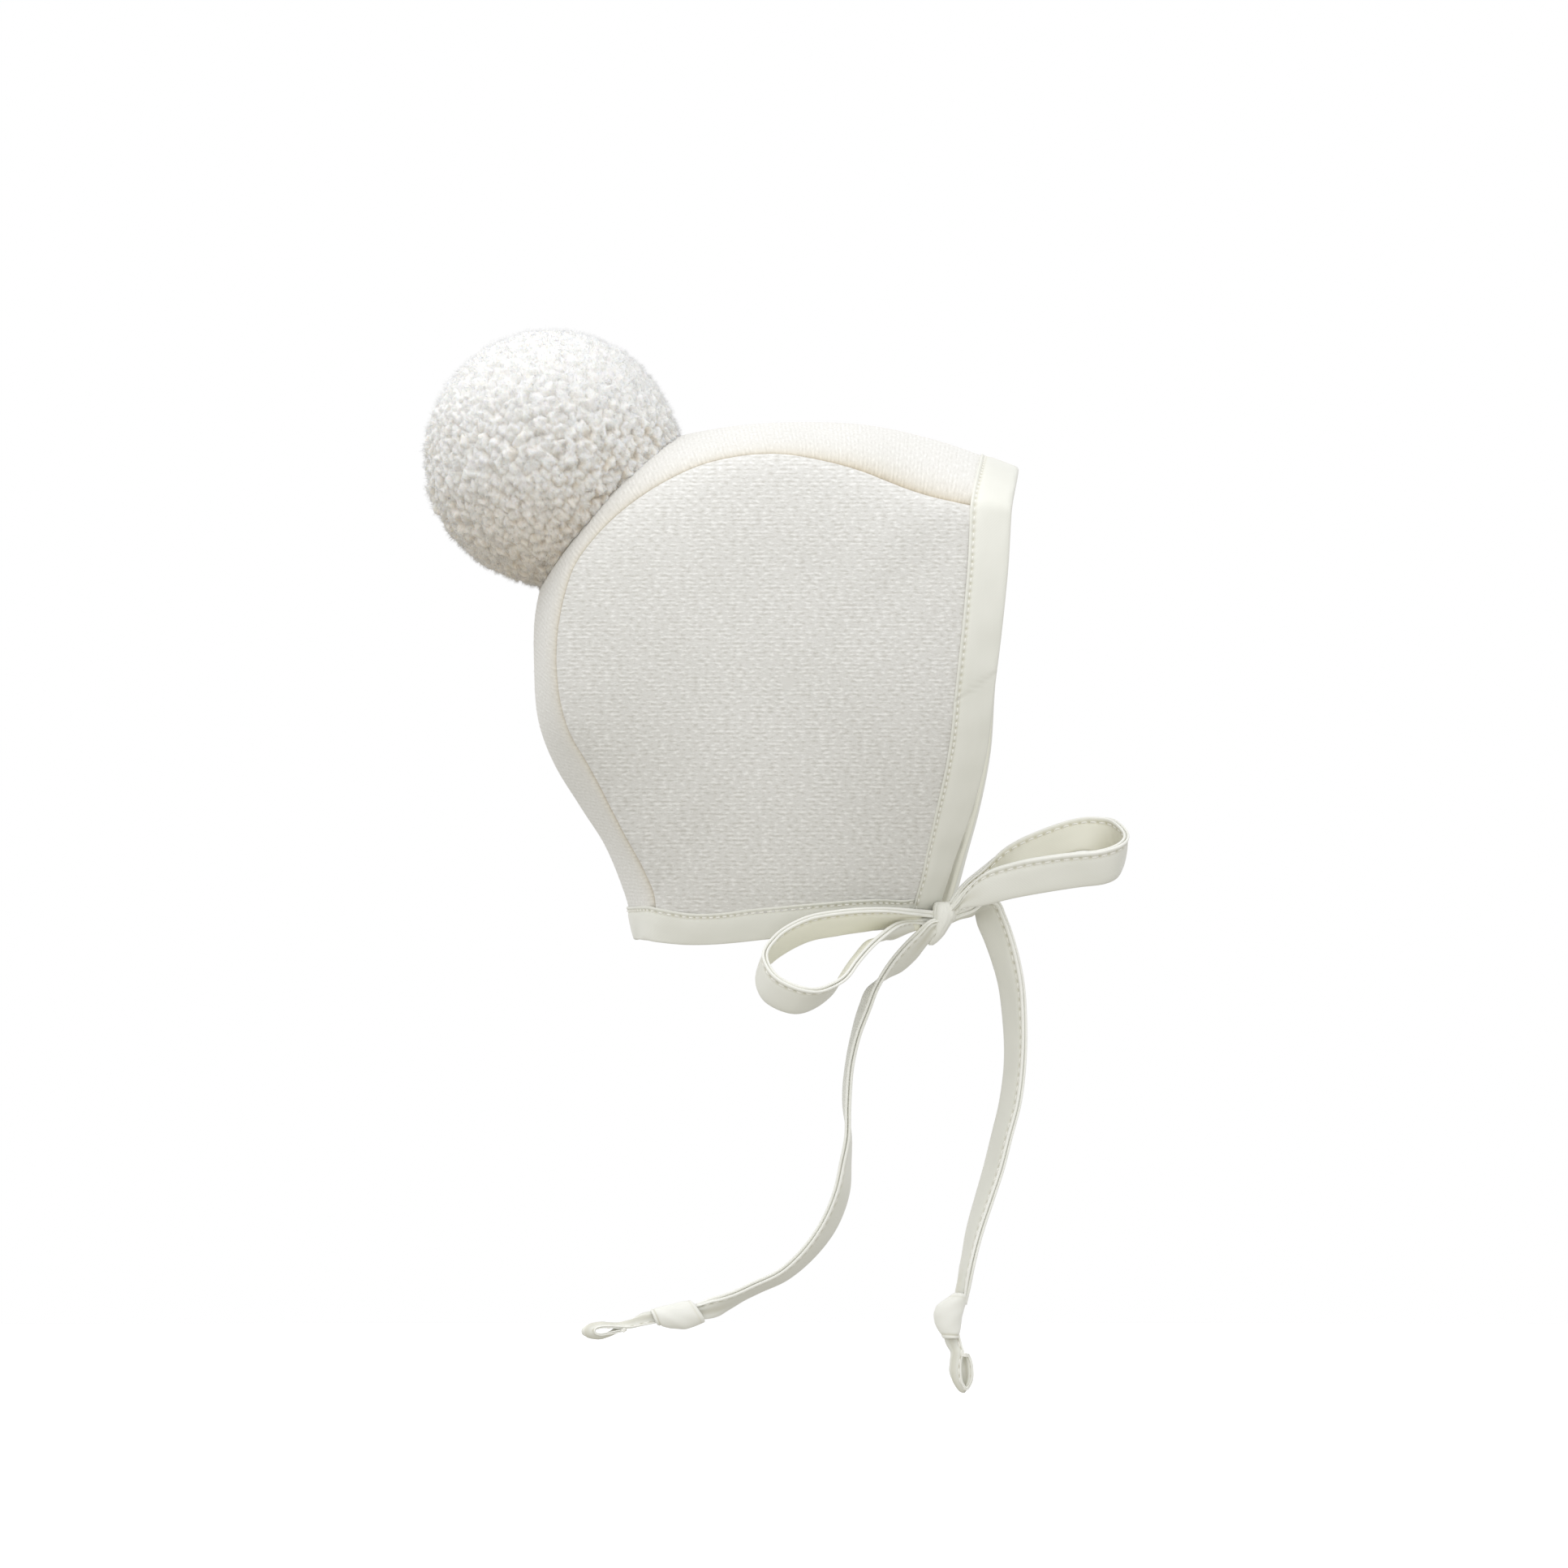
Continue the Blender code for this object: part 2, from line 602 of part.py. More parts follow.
def chin_corner(side):
    return hood_places(NECK_LINE[-1:], side)[0]


def knot_mesh(name, centre, grow):
    """A rounded knot, wider at its top, that leans towards the back."""
    mesh = bpy.data.meshes.new(name)
    shape = bmesh.new()
    bmesh.ops.create_icosphere(shape, subdivisions=3, radius=1.0)
    for vertex in shape.verts:
        x, y, z = vertex.co
        girth = 1.0 + KNOT_FLARE * z
        x *= (KNOT_WIDTH / 2) * girth + grow
        y *= KNOT_DEPTH / 2 + grow
        z *= KNOT_HEIGHT / 2 + grow
        vertex.co = (
            centre[0] + x * math.cos(KNOT_TILT) - z * math.sin(KNOT_TILT),
            centre[1] + y,
            centre[2] + x * math.sin(KNOT_TILT) + z * math.cos(KNOT_TILT),
        )
    shape.to_mesh(mesh)
    shape.free()
    mesh.shade_smooth()
    return mesh


def tape_grid(rows, reach, start, count):
    """Places across a tape at even steps along it. Its rows are measured from the start."""
    rows = np.array(rows, float)
    aim = np.radians(rows[:, 3])
    seen = rows[:, 4]
    places = start + rows[:, :3] * [reach, -reach, reach]
    across = np.stack([seen * np.cos(aim), np.sqrt(1 - seen**2), seen * np.sin(aim)], axis=1)
    path = smooth_rows(np.hstack([places, across, rows[:, 5:6]]), count)
    width = unit(path[:, 3:6]) * path[:, 6:7] * TAPE_WIDTH
    return np.stack([path[:, :3] + width * share for share in (0.0, 0.5, 1.0)], axis=1)


def add_tape(name, grid, thickness, cutters, collection, material):
    item = add_object(name, sheet_mesh(name, grid), collection, material)
    thicken(item, thickness, 0.0)
    for cutter in cutters:
        cut(item, cutter)
    return item


def lead_grid(rows, side, knot):
    """Places across the tape from a chin corner, just ahead of its binding, to the knot."""
    rows = np.array(rows, float)
    upward = end_way(FACE_LINE, side, TAPE_WIDTH, True)
    ahead = BINDING_ROLL + BINDING_SKIN + CLEARANCE + TAPE_THICKNESS / 2
    start = chin_corner(side) + upward * rows[0, 3] * TAPE_WIDTH / 2 + [ahead, 0, 0]
    places = start + np.outer(rows[:, 0], knot - start)
    places += np.stack([rows[:, 1], 0 * rows[:, 1], rows[:, 2]], axis=1) * TAPE_WIDTH
    path = smooth_rows(np.hstack([places, rows[:, 3:4]]), LEAD_STEPS)
    width = upward * path[:, 3:4] * TAPE_WIDTH
    return np.stack([path[:, :3] + width * share for share in (-0.5, 0.0, 0.5)], axis=1)


def cuff_ends(place, aim, reach, knot):
    mouth = knot + np.array([place[0], -place[1], place[2]]) * reach
    axis = np.array([math.cos(aim), 0.0, math.sin(aim)])
    return mouth, mouth + axis * CUFF_LENGTH


def add_cuff(name, mouth, hem, collection, material):
    """A sleeve of tape, wide at the middle and open at both ends."""
    axis = unit(hem - mouth)
    depth = np.array([0.0, 1.0, 0.0])
    side = np.cross(axis, depth)
    angles = np.arange(CUFF_SIDES) * math.tau / CUFF_SIDES
    grid = []
    for share, half_width, half_depth in CUFF_SECTIONS:
        ring = mouth + (hem - mouth) * share
        ring = ring + np.outer(np.cos(angles), side) * half_width * CUFF_WIDTH
        ring = ring + np.outer(np.sin(angles), depth) * half_depth * CUFF_WIDTH
        grid.append(ring)
    grid = np.stack(grid)
    mesh = sheet_mesh(name, grid, grid[0, 0] - mouth, wrap=True)
    item = add_object(name, mesh, collection, material)
    thicken(item, CUFF_SKIN, -1.0)
    return item


def pompom_centre(strip):
    share = np.array(POMPOM_PLACE)
    seat = strip.place(share, np.array(0.0))
    return seat + strip.outward(share, np.array(0.0)) * (WOOL + POMPOM_STAND)


def even_directions(count):
    """Even directions over a ball, in a spiral."""
    number = np.arange(count) + 0.5
    height = 1 - 2 * number / count
    turn = number * math.pi * (3 - math.sqrt(5))
    ring = np.sqrt(1 - height**2)
    return np.stack([ring * np.cos(turn), ring * np.sin(turn), height], axis=1)


def add_pompom(name, centre, cutter, collection, material):
    """A ball whose skin rises in rounded locks, flat where it lies on the crown."""
    mesh = bpy.data.meshes.new(name)
    ball = bmesh.new()
    for direction in even_directions(LOCK_COUNT * LOCK_POINTS):
        ball.verts.new(direction)
    bmesh.ops.convex_hull(ball, input=ball.verts)
    locks = even_directions(LOCK_COUNT)
    lock_angle = math.sqrt(4 / LOCK_COUNT)
    for vertex in ball.verts:
        direction = np.array(vertex.co)
        nearest = math.acos(min(1.0, float(np.max(locks @ direction))))
        rise = LOCK_RISE * max(0.0, 1 - (nearest / lock_angle) ** 2)
        vertex.co = centre + direction * (POMPOM_RADIUS - LOCK_RISE / 2 + rise)
    bmesh.ops.recalc_face_normals(ball, faces=ball.faces)
    ball.to_mesh(mesh)
    ball.free()
    mesh.shade_smooth()
    item = add_object(name, mesh, collection, material)
    cut(item, cutter)
    return item


def crown_cutter(strip, collection):
    """A prism over the outline of the crown, a clearance outside the wool."""
    shares = np.linspace(*POMPOM_SEAT, FINE_STEPS // 10)
    middle = np.zeros(shares.shape)
    line = strip.place(shares, middle) + strip.outward(shares, middle) * (WOOL + CLEARANCE)
    inner = np.array([[0.0, 0.0, -HOOD_HEIGHT / 2]])
    line = np.vstack([line, inner])
    mesh = bpy.data.meshes.new("crown_cutter")
    prism = bmesh.new()
    half = HEAD_WIDTH / 2
    corners = [prism.verts.new((place[0], -half, place[2])) for place in line]
    face = prism.faces.new(corners)
    grown = bmesh.ops.extrude_face_region(prism, geom=[face])
    moved = [item for item in grown["geom"] if isinstance(item, bmesh.types.BMVert)]
    bmesh.ops.translate(prism, vec=(0, 2 * half, 0), verts=moved)
    bmesh.ops.recalc_face_normals(prism, faces=prism.faces)
    prism.to_mesh(mesh)
    prism.free()
    return add_cutter("crown_cutter", mesh, collection)


def add_cutter(name, mesh, collection):
    item = add_object(name, mesh, collection)
    item.hide_render = True
    item.display_type = "WIRE"
    return item


def main():
    for item in list(bpy.data.objects):
        bpy.data.objects.remove(item, do_unlink=True)
    parts = bpy.data.collections.new("baby_bonnet")
    cutters = bpy.data.collections.new("cutters")
    bpy.context.scene.collection.children.link(parts)
    bpy.context.scene.collection.children.link(cutters)

    wool = new_material("wool_felt", (0.86, 0.84, 0.79), 0.95)
    sateen = new_material("sateen_tape", (0.84, 0.83, 0.76), 0.55)
    yarn = new_material("pompom_yarn", (0.86, 0.84, 0.80), 0.95)

    near = SidePanel(-1)
    far = SidePanel(1)
    strip = CentreStrip()
    add_side_panel("side_panel_near", near, parts, wool)
    add_side_panel("side_panel_far", far, parts, wool)
    add_centre_strip("centre_strip", strip, parts, wool)
    add_binding("face_binding", (near, far), strip, FACE_LINE, FACE_BAND, 0.0, parts, sateen)
    add_binding("neck_binding", (near, far), strip, NECK_LINE, NECK_BAND, NECK_STOP, parts, sateen)

    add_pompom("pompom", pompom_centre(strip), crown_cutter(strip, cutters), parts, yarn)

    knot = chin_corner(-1) + np.array([KNOT_AHEAD, -KNOT_OUT, -KNOT_BELOW])
    add_object("tie_knot", knot_mesh("tie_knot", knot, 0.0), parts, sateen)
    knot_cutter = add_cutter("knot_cutter", knot_mesh("knot_cutter", knot, CLEARANCE), cutters)
    for name, rows, reach in (
        ("bow_loop_back", BACK_LOOP, BACK_LOOP_REACH),
        ("bow_loop_front", FRONT_LOOP, FRONT_LOOP_REACH),
        ("tie_tail_back", BACK_TAIL, BACK_TAIL_DROP),
        ("tie_tail_front", FRONT_TAIL, FRONT_TAIL_DROP),
    ):
        grid = tape_grid(rows, reach, knot, TAPE_STEPS)
        add_tape(name, grid, TAPE_THICKNESS, [knot_cutter], parts, sateen)
    for name, rows, side in (("tie_lead_near", NEAR_LEAD, -1), ("tie_lead_far", FAR_LEAD, 1)):
        add_tape(name, lead_grid(rows, side, knot), TAPE_THICKNESS, [knot_cutter], parts, sateen)
    for end, place, aim, reach, rows in (
        ("back", BACK_CUFF, BACK_CUFF_AIM, BACK_TAIL_DROP, BACK_TIP),
        ("front", FRONT_CUFF, FRONT_CUFF_AIM, FRONT_TAIL_DROP, FRONT_TIP),
    ):
        mouth, hem = cuff_ends(place, aim, reach, knot)
        add_cuff("tail_cuff_" + end, mouth, hem, parts, sateen)
        grid = tape_grid(rows, TIP_LENGTH, hem, TIP_STEPS)
        add_tape("tail_tip_" + end, grid, TIP_THICKNESS, [], parts, sateen)


main()
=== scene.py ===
"""Baby bonnet in a pale studio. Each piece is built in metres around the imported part, which stays the
frame: the wool and its seams, the bindings and their stitches, the folded tapes of the bow, and the
pompom's yarn."""

import math

import bpy
import numpy as np
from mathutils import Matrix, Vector


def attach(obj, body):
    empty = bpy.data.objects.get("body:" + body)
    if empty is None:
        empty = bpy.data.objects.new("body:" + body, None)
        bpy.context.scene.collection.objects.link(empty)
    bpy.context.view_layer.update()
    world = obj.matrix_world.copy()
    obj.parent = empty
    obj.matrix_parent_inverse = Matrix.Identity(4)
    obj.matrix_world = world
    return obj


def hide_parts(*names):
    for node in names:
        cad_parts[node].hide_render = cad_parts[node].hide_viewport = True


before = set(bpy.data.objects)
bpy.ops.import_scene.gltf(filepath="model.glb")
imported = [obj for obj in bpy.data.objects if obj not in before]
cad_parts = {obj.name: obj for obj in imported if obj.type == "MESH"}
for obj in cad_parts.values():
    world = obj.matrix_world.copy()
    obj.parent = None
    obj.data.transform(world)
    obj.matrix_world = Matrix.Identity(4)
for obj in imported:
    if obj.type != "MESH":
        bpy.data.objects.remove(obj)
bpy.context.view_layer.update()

BODY = "root"
RNG = np.random.default_rng(7)

# Hood, measured on the inside of the wool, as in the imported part
HOOD_DEPTH = 0.1456
HOOD_HEIGHT = 0.1563
HEAD_WIDTH = 0.118
STRIP_HALF_WIDTH = 0.038
CROWN_AHEAD = 0.572
WOOL = 0.0024
PANEL_ROUNDNESS = 2.3
STRIP_ROUNDNESS = 2.1
CORNER_SPREAD = 30
CORNER_SHARPNESS = 8
FINE_STEPS = 800
SEAM_STEPS = 25
NECK_STEPS = 15
FACE_STEPS = 15
SKIN_STEP = 0.0005

# Wool: its seams are rolled edges that meet in a groove
SEAM_GAP = 0.00004
SEAM_ROLL = 0.0042
SEAM_DROP = 0.0018
SEAM_RIDGE = 0.00025
SEAM_RIDGE_PLACE = 1.3
SHOULDER = 0.0024
SHOULDER_REACH = 0.011
SHOULDER_START = 0.03
NAPE_DIP = 0.0014
NAPE_DIP_PLACE = 0.046
NAPE_DIP_REACH = 0.024
NAPE_DIP_START = 0.006
EDGE_DEPTHS = (0.0, 0.0001, 0.00025, 0.00045, 0.0007, 0.001, 0.0013, 0.0017, 0.0022, 0.0029, 0.0038, 0.005)
EDGE_LIFT = 0.0005
EDGE_LIFT_REACH = 0.0008
KNIT_PITCH = 0.0013

# Soft unevenness of the wool: its height, the size of its ripples, and where it starts or ends from the seam
PANEL_SWELL = 0.0003
PANEL_SWELL_SIZE = 0.045
PANEL_SWELL_START = 0.002
SEAM_PUCKER = 0.00013
SEAM_PUCKER_SIZE = 0.009
SEAM_PUCKER_REACH = 0.006
STRIP_SWELL = 0.00025
STRIP_SWELL_SIZE = 0.04
STRIP_SWELL_START = 0.004

# Painted shade on the wool: a tan line in the seams, and a painted shadow band along the strip's edges that
# is widest over the crown
PANEL_SEAM_SHADE = 0.7
STRIP_SEAM_SHADE = 0.45
SEAM_SHADE_REACH = 0.0009
SEAM_SHADE_BAND = 0.8
SEAM_SHADE_BAND_LEAST = 0.35
SEAM_SHADE_BAND_WIDTH = 0.0034
SEAM_SHADE_BAND_PLACE = 0.14
SEAM_SHADE_BAND_REACH = 0.12

# Mesh of the wool: steps along a panel's seam, neck and face, its rings, and the strip's rows and columns
PANEL_SEAM_STEPS = 300
PANEL_NECK_STEPS = 90
PANEL_FACE_STEPS = 110
PANEL_RINGS = 34
PANEL_RING_SPACING = 0.9
STRIP_ROWS = 340
STRIP_COLUMNS = 22

# Fuzz: short fibres, with the least and the most of their rise and of their length
FUZZ_PER_PANEL = 1700
FUZZ_ON_STRIP = 2200
FUZZ_LENGTH = 0.0014
FUZZ_SHARES = (0.4, 1.15)
FUZZ_RISE = (0.08, 0.5)
FUZZ_BEND = 0.35
FUZZ_SINK = 0.0001
FUZZ_RADIUS = 0.000032
FIBRE_TURN = (0.31, 0.22, 0.92)

# Binding tape, folded over the edge of the wool
FACE_BAND = 0.012
NECK_BAND = 0.010
NECK_STOP = 0.0095
NECK_TUCK = 0.0035
NECK_TUCKED = 0.42
NECK_WAVE = 0.0006
NECK_WAVE_SIZE = 0.024
NECK_ROLL = 0.0002
BINDING_ROLL = 0.0007
BINDING_STEP = 0.00042
BINDING_PITCH = 0.0023
BINDING_RIPPLE = 0.00016
BINDING_RIPPLE_SIZE = 0.016
BINDING_PULL_HEIGHT = 0.0006
BINDING_PULL_REACH = 0.00055
STITCH_INSET = 0.00125
FOLD_ANGLES = (15, 40, 65, 90, 115, 140, 165)
LINER_SHARES = (0.9, 0.5, 0.06)
LINER_GAP = 0.00002
PLACE_SMOOTHING = 6
NORMAL_SMOOTHING = 22

# The slanting join in the near side's face binding: heights at its fold and inner edge, and its step
JOIN_HEIGHTS = (-0.0745, -0.0835)
JOIN_SLANT = 0.83
JOIN_STEP = 0.00022
JOIN_STEP_REACH = 0.0001
JOIN_GROOVE = 0.0003
JOIN_GROOVE_REACH = 0.0004

# Tie tape
TAPE_WIDTH = 0.0112
TAPE_STEP = 0.00045
TAPE_PITCH = 0.0029
TAPE_STITCH = 0.00175
TAPE_PULL_REACH = 0.0005
# Painted highlight on the lips: its reach across the tape, and how far it stays full
LIP_HIGHLIGHT_REACH = 0.0011
LIP_HIGHLIGHT_FULL = 1.25
BELLY = 0.16
BELLY_SIZE = 0.02
CREASE = 0.0013
CREASE_COUNT = 2.6
CREASE_SIZE = 0.03
CREASE_DRIFT = 0.6
CREASE_START = 0.002
CREASE_SHADE = 1.6
CREASE_SHADE_MOST = 0.5
GATHER_SWELL = 0.25
LEAD_START = (0.0028, 0.0, 0.0)
BACK_LOOP_REACH = 0.0545
FRONT_LOOP_REACH = 0.057
BACK_TAIL_DROP = 0.118
FRONT_TAIL_DROP = 0.116
TWILL_PITCH = 0.0006

# Stitches: dashes of thread, with a pit between them where the thread goes down. The rings of a dash are
# shares of its half length.
DASH_SHARE = 0.68
DASH_RINGS = (-0.96, -0.7, 0.0, 0.7, 0.96)
DASH_RISE = 0.75
DASH_ARCH = 1.1
THREAD_RADIUS = 0.00024
THREAD_SIDES = 6
PIT_DEPTH = 0.00028
PIT_REACH = 0.0004
STITCH_SHADE_LEAST = 0.25
STITCH_SHADE_REACH = 0.0005

# Knot, ahead of the near chin corner
KNOT_AHEAD = 0.0048
KNOT_OUT = 0.0102
KNOT_BELOW = 0.0007

# The knot's two wraps: height above its middle, how far it reaches behind, ahead, and out, in metres
KNOT_WRAP = (
    (0.0064, 0.0018, 0.0014, 0.0014),
    (0.0061, 0.0026, 0.0022, 0.0026),
    (0.0052, 0.0031, 0.0026, 0.0038),
    (0.0038, 0.0033, 0.0030, 0.0045),
    (0.0020, 0.0034, 0.0031, 0.0048),
    (0.0000, 0.0035, 0.0026, 0.0047),
    (-0.0020, 0.0035, 0.0014, 0.0043),
    (-0.0036, 0.0036, 0.0004, 0.0037),
    (-0.0050, 0.0040, -0.0008, 0.0029),
    (-0.0062, 0.0045, -0.0021, 0.0020),
    (-0.0069, 0.0045, -0.0031, 0.0011),
)
KNOT_UNDER = (
    (0.0056, -0.0010, 0.0029, 0.0012),
    (0.0051, -0.0006, 0.0036, 0.0026),
    (0.0038, -0.0004, 0.0041, 0.0036),
    (0.0022, -0.0004, 0.0041, 0.0037),
    (0.0008, -0.0004, 0.0036, 0.0030),
    (0.0000, -0.0004, 0.0028, 0.0018),
)
KNOT_LIP = 0.0010
KNOT_LIP_REACH = 0.00022
KNOT_GROOVE = 0.00035
KNOT_CREASES = (0.50, 0.76)
KNOT_CREASE_SHARE = 0.6
KNOT_CREASE_REACH = 0.0004
KNOT_ROUNDNESS = 0.85
KNOT_SIDES = 110
KNOT_RINGS = 44
KNOT_FRONT = 28
KNOT_GIRTH = 0.022
# Painted highlight over the whole knot
KNOT_HIGHLIGHT = 0.4

# Cuffs and folded ends of the tails
CUFF_LENGTH = 0.0132
CUFF_WIDTH = 0.0091
CUFF_SKIN = 0.0006
CUFF_RIM = 0.0002
CUFF_SIDES = 72
CUFF_STEPS = 60
CUFF_SMOOTHING = 5
CUFF_ROWS = np.concatenate([np.linspace(0, 0.86, 26), [0.90, 0.925, 0.94, 0.96, 0.98, 1.0]])
# Painted highlight over the whole cuff
CUFF_HIGHLIGHT = 0.85
CUFF_RIPPLE = 0.00018
CUFF_RIPPLE_SIZE = 0.006
CUFF_WRAP = 0.00035
HEM_PLACE = 0.935
HEM_GROOVE = 0.00032
HEM_GROOVE_REACH = 0.014
HEM_SHADE = (0.8, HEM_PLACE, 0.016)
MOUTH_SHADE = (0.4, 0.075, 0.02)
TIP_LENGTH = 0.0225
TIP_STEP = 0.0003
TIP_THIN = 0.38
TACK_ROWS = 3
TACK_SPACING = 1.6
TACK_STEPS = 8

# Pompom: a ball of cut yarn ends that touch in soft lumps, and the fine wool that stands out of them
POMPOM_RADIUS = 0.0391
POMPOM_STAND = 0.0162
POMPOM_PLACE = 0.476
LUMP_COUNT = 3100
LUMP_FALL = 340
LUMP_UNEVEN = 0.00036
LUMP_DEPTH = 0.0013
LUMP_WARP = 0.0007
LUMP_WARP_SIZE = 0.0034
LUMP_SCATTER = 0.014
LUMP_BLOCK = 4000
LUMP_SHARE = 1.15
LUMP_SOFT_TOP = 0.65
LUMP_SOFT_BASE = 0.45
BALL_ROWS = 210
BALL_COLUMNS = 396
WISP_COUNT = 90000
WISP_LENGTH = 0.0022
WISP_RADIUS = 0.000075
WISP_SHARE = 0.52
ROOT_REACH = 0.005
ROOT_BULGE = 0.0015
ROOT_BULGE_REACH = 0.0035
ROOT_SINK = 0.0003
CROWN_SPAN = (0.02, 0.9)
CROWN_STEPS = 200
CROWN_HALF_WIDTH = 0.04
LEAST_SLOPE = 0.05
WISPS_PER_PIECE = 30000

# The photograph's frame at the middle plane: its width, and its middle ahead and up, in metres
FRAME_WIDTH = 0.483
FRAME_MIDDLE = (-0.0085, -0.109)

# Studio: the sky's light from straight down to straight up, the broad soft suns (name, direction, strength
# and spread), and a floor below the ties
WHITE = (1.0, 1.0, 1.0)
BLACK = (0.0, 0.0, 0.0)
SKY = (
    (0.0, (0.62, 0.605, 0.555)),
    (0.36, (0.67, 0.655, 0.615)),
    (0.44, WHITE),
    (0.56, WHITE),
    (0.64, (0.66, 0.665, 0.68)),
    (1.0, (0.73, 0.735, 0.76)),
)
LAMPS = (
    ("top_light", (-0.02, -0.10, 0.99), 1.40, math.radians(60)),
    ("front_light", (-0.20, -0.94, 0.27), 0.66, math.radians(60)),
    ("rim_light", (-0.62, 0.35, 0.70), 0.55, math.radians(40)),
)
FLOOR_LEVEL = -0.43
FLOOR_RADIUS = 5.0

# Colours of the knit, from the hollows between its rows to the tops of its light dashes
KNIT_COLOURS = (
    (0.30, (0.612, 0.598, 0.558)),
    (0.42, (0.702, 0.692, 0.658)),
    (0.58, (0.728, 0.720, 0.690)),
    (0.70, (0.845, 0.838, 0.810)),
)

# Middle line of the centre strip, from the forehead to the nape: depth, height
MIDDLE_LINE = (
    (1.000, 0.906),
    (0.839, 0.964),
    (0.676, 0.995),
    (0.589, 1.000),
    (0.477, 0.998),
    (0.382, 0.987),
    (0.245, 0.957),
    (0.155, 0.907),
    (0.087, 0.820),
    (0.035, 0.737),
    (0.007, 0.645),
    (0.000, 0.536),
    (0.008, 0.426),
    (0.038, 0.342),
    (0.091, 0.257),
    (0.146, 0.183),
    (0.188, 0.097),
    (0.217, 0.003),
)

# Seam between the strip and a side panel, from the face opening to the nape: depth, height, half-width
SEAM_LINE = (
    (0.984, 0.829, 0.71),
    (0.806, 0.864, 0.71),
    (0.638, 0.920, 0.71),
    (0.480, 0.943, 0.71),
    (0.336, 0.920, 0.70),
    (0.261, 0.887, 0.69),
    (0.125, 0.786, 0.67),
    (0.080, 0.729, 0.66),
    (0.057, 0.665, 0.65),
    (0.042, 0.539, 0.62),
    (0.070, 0.406, 0.58),
    (0.106, 0.347, 0.56),
    (0.181, 0.212, 0.51),
    (0.224, 0.139, 0.48),
    (0.246, 0.090, 0.47),
    (0.253, 0.001, 0.46),
)

# Edge of a side panel at the face, from the seam to the chin corner: depth, height, half-width, and how far
# the far side lies ahead of the near side
FACE_LINE = (
    (0.984, 0.829, 0.71, 0.000),
    (0.977, 0.730, 0.79, 0.000),
    (0.963, 0.610, 0.84, 0.004),
    (0.946, 0.490, 0.83, 0.009),
    (0.931, 0.375, 0.76, 0.015),
    (0.900, 0.260, 0.63, 0.021),
    (0.857, 0.150, 0.45, 0.029),
    (0.816, 0.035, 0.25, 0.033),
)

# Edge of a side panel at the neck, from the nape to the chin corner: the same columns
NECK_LINE = (
    (0.253, 0.001, 0.46, 0.000),
    (0.320, -0.003, 0.53, 0.000),
    (0.395, 0.000, 0.60, 0.000),
    (0.468, 0.008, 0.66, 0.003),
    (0.572, 0.016, 0.67, 0.009),
    (0.675, 0.024, 0.58, 0.017),
    (0.760, 0.030, 0.41, 0.027),
    (0.816, 0.035, 0.25, 0.033),
)

# The point of a side panel that stands out most: depth, height
PANEL_MIDDLE = (0.52, 0.50)

# Tapes of the bow, as sections along the stitched edge. Measured from the knot: ahead, towards the near
# side and up, as shares of the tape's reach. Then the way from that edge to the folded edge, seen from the
# near side in degrees, the share of the width seen from there, and the width as a share of the tape's.
BACK_LOOP = (
    (-0.01, 0.020, 0.042, -90, 0.20, 0.28),
    (-0.07, 0.045, 0.050, -90, 0.20, 0.34),
    (-0.18, 0.215, 0.064, -92, 0.26, 0.58),
    (-0.35, 0.405, 0.080, -97, 0.58, 0.93),
    (-0.57, 0.505, 0.069, -94, 0.66, 1.00),
    (-0.78, 0.550, 0.028, -92, 0.68, 1.00),
    (-0.94, 0.590, -0.069, -100, 0.75, 1.00),
    (-1.00, 0.640, -0.161, -108, 0.75, 1.00),
    (-0.96, 0.700, -0.266, -108, 0.82, 1.00),
    (-0.84, 0.745, -0.343, -95, 0.78, 1.00),
    (-0.70, 0.730, -0.367, -95, 0.46, 1.00),
    (-0.63, 0.695, -0.345, -88, 0.22, 1.00),
    (-0.56, 0.650, -0.307, 160, 0.10, 1.00),
    (-0.48, 0.580, -0.207, 142, 0.14, 1.00),
    (-0.41, 0.500, -0.128, 140, 0.14, 0.95),
    (-0.33, 0.400, -0.055, -110, 0.26, 0.80),
    (-0.25, 0.260, -0.001, -98, 0.70, 0.62),
    (-0.165, 0.120, 0.010, -92, 0.60, 0.46),
    (-0.07, 0.030, 0.003, -90, 0.10, 0.28),
    (-0.01, 0.015, -0.004, -90, 0.10, 0.24),
)
FRONT_LOOP = (
    (0.02, -0.020, 0.070, -80, 0.85, 0.28),
    (0.06, -0.030, 0.140, -80, 0.92, 0.28),
    (0.12, -0.060, 0.214, -75, 0.92, 0.42),
    (0.20, -0.105, 0.281, -75, 0.90, 0.75),
    (0.33, -0.140, 0.395, -80, -0.92, 1.00),
    (0.53, -0.175, 0.496, -85, -0.92, 1.00),
    (0.81, -0.175, 0.566, -90, -0.94, 1.00),
    (0.90, -0.140, 0.561, -90, 0.99, 1.00),
    (0.948, -0.070, 0.530, -95, 0.82, 1.00),
    (0.984, 0.020, 0.482, -98, 0.75, 1.00),
    (0.974, 0.105, 0.447, -96, 0.80, 1.00),
    (0.930, 0.175, 0.417, -90, 0.90, 1.00),
    (0.84, 0.210, 0.390, -82, 0.93, 1.00),
    (0.71, 0.210, 0.377, -82, 0.95, 1.00),
    (0.57, 0.195, 0.360, -82, 0.97, 1.00),
    (0.38, 0.160, 0.325, -90, 0.98, 1.00),
    (0.22, 0.125, 0.268, -100, 0.98, 0.95),
    (0.16, 0.105, 0.219, -108, 0.95, 0.78),
    (0.10, 0.085, 0.154, -105, 0.90, 0.50),
    (0.07, 0.070, 0.114, -95, 0.80, 0.34),
    (0.02, 0.035, 0.060, -90, 0.70, 0.30),
)
